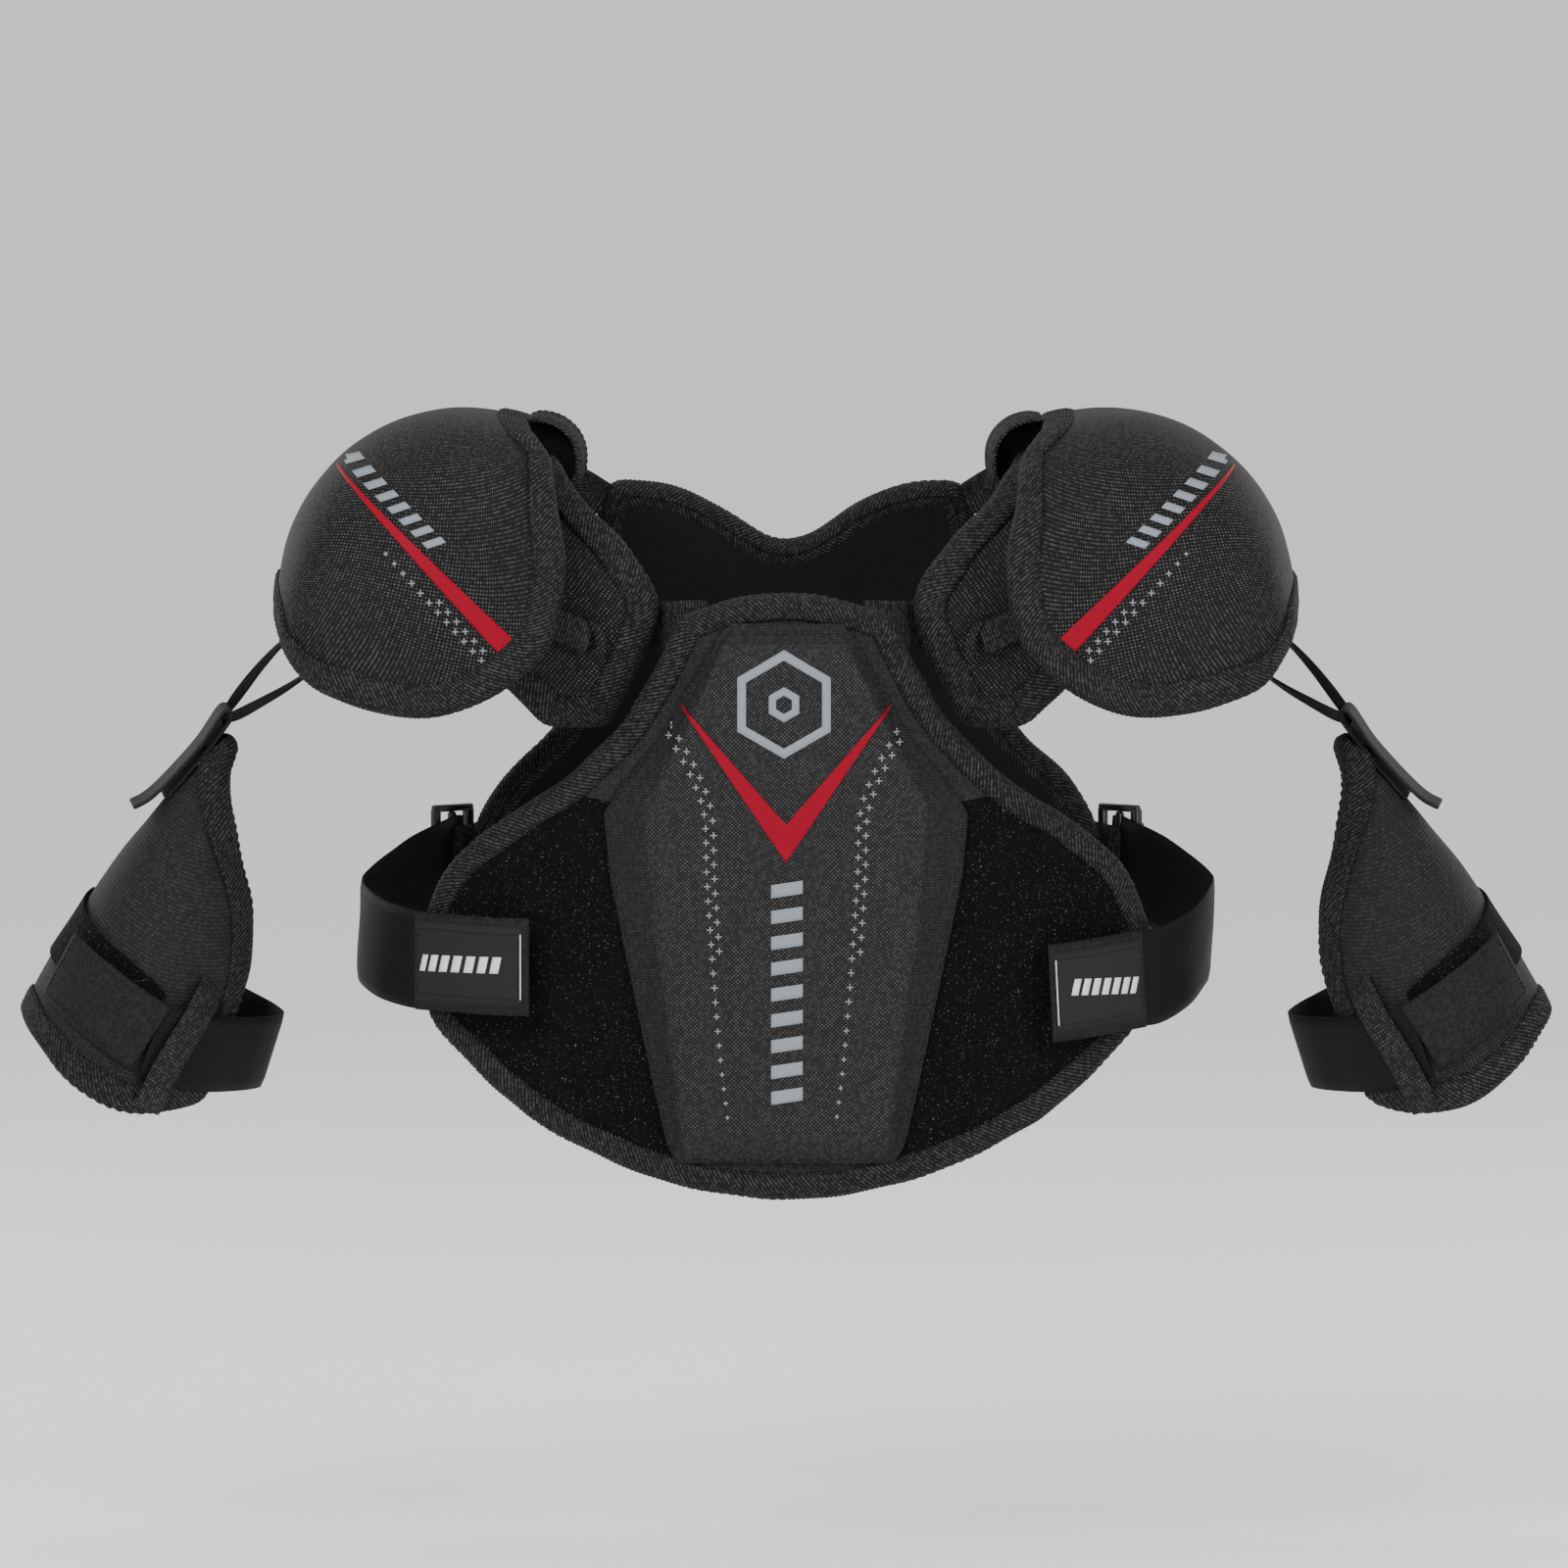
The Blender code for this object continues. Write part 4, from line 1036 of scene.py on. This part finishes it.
def build_back():
    """Cover, lining, binding and the stitched slits at the neck."""
    grid = back_grid(PAD_INSET, 84, 76)
    x, _, z = np.moveaxis(grid, -1, 0)
    outer = lift(grid, FOAM_TOP + 0.6 * wobble(grid, 40.0, 2.0))
    pad = slab("back_pad", outer, lift(grid, 1.9), [NYLON], "back", ["back_foam"])
    under = (np.abs(x) < SPINE_HALF + 2) & (z > -238) & (z < -47)
    quilted = np.abs(np.abs(x) - 74 + 0.10 * (z + 60)) < 2.2
    inflate(pad, rim_of(grid) | under | quilted, 2.6, 3.0)
    slab("back_lining", lift(grid, LINING_TOP), lift(grid, -0.2 + 0.4 * wobble(grid, 30.0, 3.0)),
         [KNIT], "back", ["back_liner"])
    depth = FOAM_TOP + 0.5
    binding("back_binding_tape", lift(back_grid(EDGE_INSET, 60, 60), depth), depth, EDGE_INSET, 6.5,
            TWILL, "back", ["back_binding"], 0.25)
    slits = []
    for side in SIDES.values():
        x, z = np.transpose(NECK_SLIT)
        y = torso_y(x, z, BACK_DEPTH, BACK_TOP_DROP) - 0.6
        slits.append((np.stack([x * side, y, z], axis=1), np.tile([0.0, -1.0, 0.0], (3, 1))))
    stitches("neck_slits", slits, "back", 4.0, 8.0, 0.8)


def build_spine():
    """The moulded spine pad: three cushions with sewn grooves, and a flat outer face."""
    low, high = [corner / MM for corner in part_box("spine_plate")]
    height = high.z - low.z
    z = np.linspace(low.z, high.z, 91)[:, None]
    share = (z - low.z) / height
    half = SPINE_HALF * (1 - 0.10 * np.clip(2 * np.abs(share - 0.5), 0, 1) ** 6)
    x = np.linspace(-1, 1, 49)[None, :] * half
    z = np.broadcast_to(z, x.shape)
    edge = np.clip((half - np.abs(x)) / 8.5, 0, 1) ** 0.6
    ends = np.clip(np.minimum(share, 1 - share) * height / 9.0, 0, 1) ** 0.6
    grooves = sum(np.exp(-((share - cut) * height / SPINE_GROOVE_WIDTH) ** 2)
                  for cut in (1 / 3, 2 / 3))
    level = blurred(np.minimum(edge, ends) * (1 - SPINE_GROOVE * grooves), 2)
    seat = torso_y(x, z, BACK_DEPTH, BACK_TOP_DROP) + FOAM_TOP + 0.4
    y = mix(seat + 1.0, high.y - 0.2, level)
    outer = np.stack([-x, y, z], axis=-1)
    slab("spine_pad", outer, np.stack([-x, seat, z], axis=-1), [PLATE], "back", ["spine_plate"])
    stitches("spine_stitching", seam_lines(outer, (0.02, 0.98), (0.035, 0.965), 0.04, 0.96), "back")


# --- shoulders and laces --------------------------------------------------------------------


def build_arch(label, side):
    """Pad, lining, binding and webbing of one shoulder arch, and the gusset behind it."""
    grid = on_side(arch_grid(9.5, 30, 76), side)
    outer = lift(grid, 0.5 * wobble(grid, 24.0, 1.5))
    pad = slab("arch_pad_" + label, outer, lift(grid, -ARCH_DEPTH), [NYLON], "back",
               ["arch_foam_" + label])
    inflate(pad, rim_of(grid), 3.0, 3.2)
    slab("arch_lining_" + label, lift(grid, -ARCH_DEPTH - 0.2), lift(grid, -ARCH_DEPTH - 2.4),
         [KNIT], "back", ["arch_liner_" + label])
    edge = on_side(arch_grid(5.5, 24, 70), side)
    binding("arch_binding_tape_" + label, lift(edge, 0.9), 11.0, 5.5, 11.5, HERRING, "back",
            ["arch_binding_" + label], 0.30)
    web = ribbon(placed(ARCH_WEB, side), 16.0, (-0.35 * side, 0, 0.94), 40)
    strap("arch_web_" + label, web, 1.8, WEBBING, "back", ["arch_webbing_" + label])
    gusset = ribbon(placed(NECK_GUSSET, side), 28.0, (0.35 * side, -0.2, 0.94), 30)
    strap("neck_gusset_" + label, gusset, 1.8, TWILL, "back")
    roll = ribbon(placed(WEB_SLIT, side), 6.0, (side, 0, 0.2), 24, 6)
    bow = 1.2 * (1 - np.linspace(-1, 1, 7) ** 2)
    strap("web_slit_" + label, lift(roll, bow[:, None]), 1.6, NYLON, "back")


def build_cap(label, side):
    """Skin, plastic shell, lining and wide rim binding of one shoulder cap."""
    body = "cap_" + label
    grid = on_side(cap_grid(10.0, 56, 84), side)
    skin = slab("cap_skin_" + label, lift(grid, 0.45 * wobble(grid, 30.0, 0.8)), lift(grid, -3.0),
                [NYLON], body, ["cap_cover_" + label])
    slab("cap_shell_" + label, lift(grid, -3.4), lift(grid, -6.0), [SHELL], body,
         ["cap_insert_" + label])
    slab("cap_lining_" + label, lift(grid, -6.4), lift(grid, -12.2), [KNIT], body,
         ["cap_liner_" + label])
    inflate(skin, rim_of(grid), 1.2, 1.2)
    edge = lift(on_side(cap_grid(EDGE_INSET, 48, 72), side), 0.9)
    binding("cap_binding_tape_" + label, edge, 13.6, EDGE_INSET, 11.5, TWILL, body,
            ["cap_binding_" + label], 0.15, 0.2)
    return skin


def build_tether(label, side):
    """The strap that ties a cap to its arch, its stitching, and the web that closes its loop."""
    keys = placed(TETHER, side)
    grid = ribbon(keys, 30.0, (0, 1, 0), 60, 14)
    y = grid[..., 1]
    flare = (y - 2) * 0.16 * np.sin(np.linspace(0.1, math.pi - 0.1, 61)) ** 0.5
    grid = lift(grid, -side * (flare + 0.5 * np.sin(y / 1.9)))
    tether = strap("cap_tether_strap_" + label, grid, 2.6, TWILL, None, ["cap_tether_" + label])
    lines = [line_on(grid, share, True, 0.03, 0.97) for share in (0.12, 0.88)]
    thread = stitches("tether_stitching_" + label, [(a + b * 1.35, b) for a, b in lines], None)
    line, seam = curve(keys, 40), curve(placed(TETHER_SEAM, side), 40)
    web = np.array([mix(line, seam, share) for share in np.linspace(0.03, 1, 13)])
    gusset = strap("tether_gusset_" + label, web, 1.6, ELASTIC, None)
    for obj in (tether, thread, gusset):
        blends.append((obj, "back", "cap_" + label, placed(TETHER_BLEND, side)))


def build_lace(label, side):
    """The flat elastic lace: from inside the cap, through the hanger and back, with a twist."""
    line = curve(placed(LACE, side), LACE_STEPS)
    way = unit(np.gradient(line, axis=0))
    up = unit(np.cross(way, np.array([0.5 * side, 0, 0.86])))
    third = np.cross(up, way)
    turns = 2 * math.pi * smooth(np.linspace(-0.05, 1.05, LACE_STEPS + 1))
    flat = up * np.cos(turns)[:, None] + third * np.sin(turns)[:, None]
    thin = np.cross(flat, way)
    angles = np.linspace(0, 2 * math.pi, LACE_SIDES + 1)[:-1]
    wide = np.cos(angles) * LACE_WIDTH / 2
    high = np.clip(np.sin(angles) * 0.8, -0.5, 0.5) * LACE_THICKNESS
    points = (line[:, None] + flat[:, None] * wide[:, None] + thin[:, None] * high[:, None])
    index = np.arange(points.size // 3).reshape(LACE_STEPS + 1, LACE_SIDES)
    after = np.roll(index, -1, axis=1)
    sides = np.stack([index[:-1], after[:-1], after[1:], index[1:]], axis=2)
    faces = sides.reshape(-1, 4).tolist() + [index[0, ::-1].tolist(), index[-1].tolist()]
    length = float(travelled(line)[-1])
    uvs = [(i * length / LACE_STEPS, k * 1.1)
           for i in range(LACE_STEPS + 1) for k in range(LACE_SIDES)]
    lace = piece("lace_" + label, points.reshape(-1, 3), faces, uvs, [("elastic_lace", ELASTIC[1])],
                 "lace_" + label, ["lace_loop_" + label])


# --- biceps guards --------------------------------------------------------------------------


def build_guard(label, side):
    """Pad, lining, binding, loop field and hanger of one guard."""
    body = "guard_" + label
    grid = on_side(guard_grid(GUARD_INSET, 84, 60), side)
    pad = slab("guard_pad_" + label, lift(grid, 0.5 * wobble(grid, 26.0, 0.2)),
               lift(grid, -GUARD_DEPTH), [LEAF], body, ["guard_foam_" + label])
    inflate(pad, rim_of(grid), 1.6, 1.3)
    slim = on_side(guard_grid(GUARD_INSET, 60, 48, 0.10), side)
    slab("guard_lining_" + label, lift(slim, -GUARD_DEPTH - 0.6), lift(slim, -GUARD_DEPTH - 2.6),
         [KNIT], body, ["guard_liner_" + label])
    edge = lift(on_side(guard_grid(5.0, 72, 60), side), 0.7)
    binding("guard_binding_tape_" + label, edge, 9.6, 5.0, 11.5, TWILL, body,
            ["guard_binding_" + label], 0.55, 0.25)

    def field(u, v):
        share = (u + 1) / 2
        bottom, top = mix(156, 130, share), mix(135, 99, share ** 0.8)
        return guard_point(mix(-98, 16, share), 2.3, mix(bottom, top, (v + 1) / 2))
    nap = on_side(sample(field, 56, 24), side)
    slab("guard_nap_" + label, nap, lift(nap, -1.2), [LOOP], body, ["guard_loop_" + label])
    build_arm_straps(label, side, body)
    keys = [(x, 0, z) for x, z in HANGER]
    web = ribbon(placed(keys, side), 23.0, (0.13 * side, 0.98, 0.13), 96, 10)
    strap("hanger_web_" + label, web, 2.2, (WEBBING[0], HOOK[1]), body, ["hanger_strap_" + label])


def build_arm_straps(label, side, body):
    """The guard's arm elastic and keeper, and the hook tab that peels off its loop field."""
    tab = "arm_tab_" + label
    strap("arm_band_" + label, guard_ribbon(ARM_BAND, 40.0, 96, side), 1.7, ELASTIC, body,
          ["arm_elastic_" + label])
    strap("keeper_strap_" + label, guard_ribbon(ARM_KEEPER, 15.0, 60, side), 1.8, BASKET, body,
          ["arm_keeper_" + label])
    hook = guard_ribbon(ARM_TAB, 38.0, 56, side, 12)
    flap = strap("hook_tab_" + label, hook, 1.9, HOOK, None, ["arm_tab_" + label])
    ends = placed([guard_point(*place) for place in ARM_TAB_BLEND], side)
    blends.append((flap, body, tab, ends))
    shown = lift(hook, 1.0)
    first, last, far = (0.14, 0.96, 0.96) if side > 0 else (0.04, 0.86, 0.04)
    lines = [line_on(shown, share, True, first, last) for share in (0.08, 0.92)]
    lines.append(line_on(shown, far, False, 0.08, 0.92))
    stitches("hook_tab_stitching_" + label, lines, tab, 2.6, 1.7, 0.26)


# --- straps ---------------------------------------------------------------------------------


def build_buckle(label, side):
    """A glossy ladder-lock frame with rounded rails and a raised grip, round the CAD one."""
    low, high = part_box("buckle_" + label)
    turn = BUCKLE_TURN * side
    way = Vector((math.cos(turn), math.sin(turn), 0))
    out = Vector((-way.y, way.x, 0))
    bm = bmesh.new()
    for middle, half in BUCKLE_BARS:
        for vertex in bmesh.ops.create_cube(bm, size=2.0)["verts"]:
            x, y, z = [c * h + m for c, h, m in zip(vertex.co, half, middle)]
            vertex.co = (low + high) / 2 + (way * x + out * y + Vector((0, 0, z))) * MM
    mesh = bpy.data.meshes.new("buckle_frame_" + label)
    bm.to_mesh(mesh)
    bm.free()
    mesh.materials.append(GLOSS[1])
    mesh.uv_layers.new(name="UVMap")
    obj = finished("buckle_frame_" + label, mesh, GLOSS[0], "back", ["buckle_" + label])
    rounded = obj.modifiers.new("rounded", "BEVEL")
    rounded.width = 1.2 * MM
    rounded.segments = 3


def build_side_strap(label, side):
    """Anchor webbing, buckle, the one elastic from buckle to tab, and the tab with its patch."""
    body = "side_" + label
    anchor = ribbon(placed(SIDE_ANCHOR, side), 40.0, STRAP_UP, 40)
    strap("anchor_web_" + label, anchor, 1.7, WEBBING, "back", ["strap_anchor_" + label])
    build_buckle(label, side)
    drop, end_drop = TAB_DROP[side]
    keys = [(x, y, z - drop * smooth(-(y + 20) / 60)) for x, y, z in SIDE_ELASTIC]
    grid = ribbon(placed(keys, side), STRAP_WIDTH, STRAP_UP, 110, 10)
    elastic = strap("side_elastic_" + label, lift(grid, 0.5 * wobble(grid, 22.0, 0.6)), 2.0,
                    ELASTIC, None, ["side_strap_rear_" + label, "side_strap_front_" + label])
    blends.append((elastic, "back", body, placed([(219, 12, -178), (219, -12, -178)], side)))

    keys = np.array([along(SIDE_TAB, t) for t in np.linspace(*TAB_SPAN[side], len(SIDE_TAB))])
    keys[:, 2] -= np.linspace(drop, end_drop, len(keys))
    grid = ribbon(placed(keys, side), STRAP_WIDTH, (TAB_LEAN[side], 0, 1), 70, 12)
    strap("side_tab_base_" + label, grid, 2.4, HOOK, body, ["side_tab_" + label])
    columns = grid.shape[1]
    a, b = int(columns * 0.03), int(columns * 0.96)
    face = -side * normals(grid)
    patch, face = (grid + face * 1.6)[1:-1, a:b], face[1:-1, a:b]
    made = slab("side_patch_" + label, patch, patch - face * 0.7, [PATCH], body)
    shown = patch + face * 0.15
    lines = [(shown[1], face[1]), (shown[-2], face[-2]), (shown[1:-1, 2], face[1:-1, 2]),
             (shown[1:-1, -3], face[1:-1, -3])]
    stitches("patch_stitching_" + label, lines, body, 2.8, 1.8, 0.26)
    middle = patch[len(patch) // 2]
    steps = np.arange(len(middle))
    places = np.interp(np.linspace(0.10, 0.86, 22) * steps[-1], steps, middle[:, 0])
    level = middle[len(middle) // 2, 2]
    shapes = [((a - 0.9, level - 4.2), (b - 0.9, level - 4.2), (b + 0.9, level + 4.2),
               (a + 0.9, level + 4.2)) for a, b in zip(places[:-1:3], places[2::3])]
    (x, _, bottom), (end_x, _, top) = patch[[1, -2], -2]
    shapes.append(((x - 0.3, bottom), (x + 0.3, bottom), (end_x + 0.3, top), (end_x - 0.3, top)))
    prints("patch_marks_" + label, made, shapes, WHITE, body)


def build_link(label, side):
    """The elastic that ties the chest pad to the back of the arch."""
    link = strap("link_elastic_" + label, ribbon(placed(LINK, side), 24.0, (0, 0, 1), 40), 1.7,
                 (ELASTIC[0], WEBBING[1]), None, ["chest_link_" + label])
    blends.append((link, "back", "chest", placed([(86, -63, -18), (46, -83, -16)], side)))


# --- prints ---------------------------------------------------------------------------------


def plus(x, z, size, stroke):
    """A small plus mark: a bar across, and a stub above and below it."""
    bars = [(size, -stroke, stroke), (stroke, stroke, size), (stroke, -size, -stroke)]
    return [((x - half, z + low), (x + half, z + low), (x + half, z + high), (x - half, z + high))
            for half, low, high in bars]


def marks_along(keys, pitch, fade):
    """Two staggered rows of plus marks beside a line of (x, z); the outer one ends at fade."""
    line = curve(keys, 199)
    here = travelled(line)
    way = unit(np.gradient(line, axis=0))
    shapes = []
    for row, shift in ((-1, 0.0), (1, pitch / 2)):
        for start in np.arange(shift, here[-1], pitch):
            share = start / here[-1]
            if row > 0 and share > fade:
                continue
            (x, z), (dx, dz) = at_distance(start, here, line), at_distance(start, here, way)
            size = MARK_SIZE * (1 - 0.45 * max(0, share - 0.7) / 0.3)
            aside = row * MARK_ROW_SHIFT
            shapes += plus(x - dz * aside, z + dx * aside, size, MARK_STROKE)
    return shapes


def sternum_prints(plate):
    """A hexagon ring, a plain chevron, a ladder of bars and rows of plus marks."""
    centre = np.array([-1.0, -55.0])
    angles = np.arange(6) * math.pi / 3 + math.pi / 6
    corners = np.stack([np.cos(angles), np.sin(angles)], axis=1)
    silver = []
    for a, b in zip(corners, np.roll(corners, -1, axis=0)):
        for outer, inner in ((27.5, 22.3), (9.0, 4.6)):
            silver.append([centre + a * outer, centre + b * outer, centre + b * inner,
                           centre + a * inner])
    for k in range(9):
        z = -150.0 - 13.2 * k
        silver.append([(-7.6, z - 3.6), (8.6, z - 1.2), (8.6, z + 5.6), (-7.6, z + 3.2)])
    for side in (-1, 1):
        keys = [(66, -58), (57, -72), (46, -92), (39.5, -112), (38.5, -140), (36.5, -172),
                (34, -206), (31, -240), (27.5, -268)]
        silver += marks_along([(x * side, z) for x, z in keys], 7.4, 0.62)
    prints("sternum_marks", plate, silver, SILVER, "chest")
    red = [((side * 58, -50.0), (side * 57.4, -50.6), (0, -135.5), (0, -116.0)) for side in (-1, 1)]
    prints("sternum_chevron", plate, red, RED, "chest")


def cap_prints(label, side, skin):
    """A tapered stripe across the cap, with slanted bars above it and plus marks below it."""
    tip, wide = np.array([234.0, 67.0]), np.array([141.0, -27.0])
    way = unit(wide - tip)
    across = np.array([way[1], -way[0]])
    stripe = [tip - across * 0.4, wide - across * 5.6 - way * 2, wide + across * 5.2 + way * 4,
              tip + across * 0.4]
    bars = []
    for k in range(8):
        middle = tip + way * (9 + 8.3 * k) + across * (8.6 + 0.28 * k)
        bars.append([middle + across * 4.6 * up + way * (2.1 * ahead + 2.2 * up)
                     for up, ahead in ((-1, -1), (-1, 1), (1, 1), (1, -1))])
    start, stop = wide - across * 12.5 + way, tip + way * 50 - across * 9.0
    marks = marks_along([mix(start, stop, share) for share in (0, 0.33, 0.66, 1)], 6.6, 0.55)
    prints("cap_stripe_" + label, skin, np.array([stripe]) * [side, 1], RED, "cap_" + label)
    prints("cap_marks_" + label, skin, np.array(bars + marks) * [side, 1], SILVER, "cap_" + label)


# --- the whole set --------------------------------------------------------------------------

studio()
for label, side in SIDES.items():
    build_lace(label, side)
plate = build_sternum()
build_chest()
build_back()
build_spine()
skins = {}
for label, side in SIDES.items():
    build_arch(label, side)
    skins[label] = build_cap(label, side)
    build_tether(label, side)
    build_guard(label, side)
    build_side_strap(label, side)
    build_link(label, side)
simulate()
for cushion in cushions:
    subdivide(cushion[0])
sternum_prints(plate)
for label, side in SIDES.items():
    cap_prints(label, side, skins[label])
for obj, body in riders:
    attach(obj, body)
for obj, first, second, (start, stop) in blends:
    start * MM
    stop * MM
    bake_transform(obj)
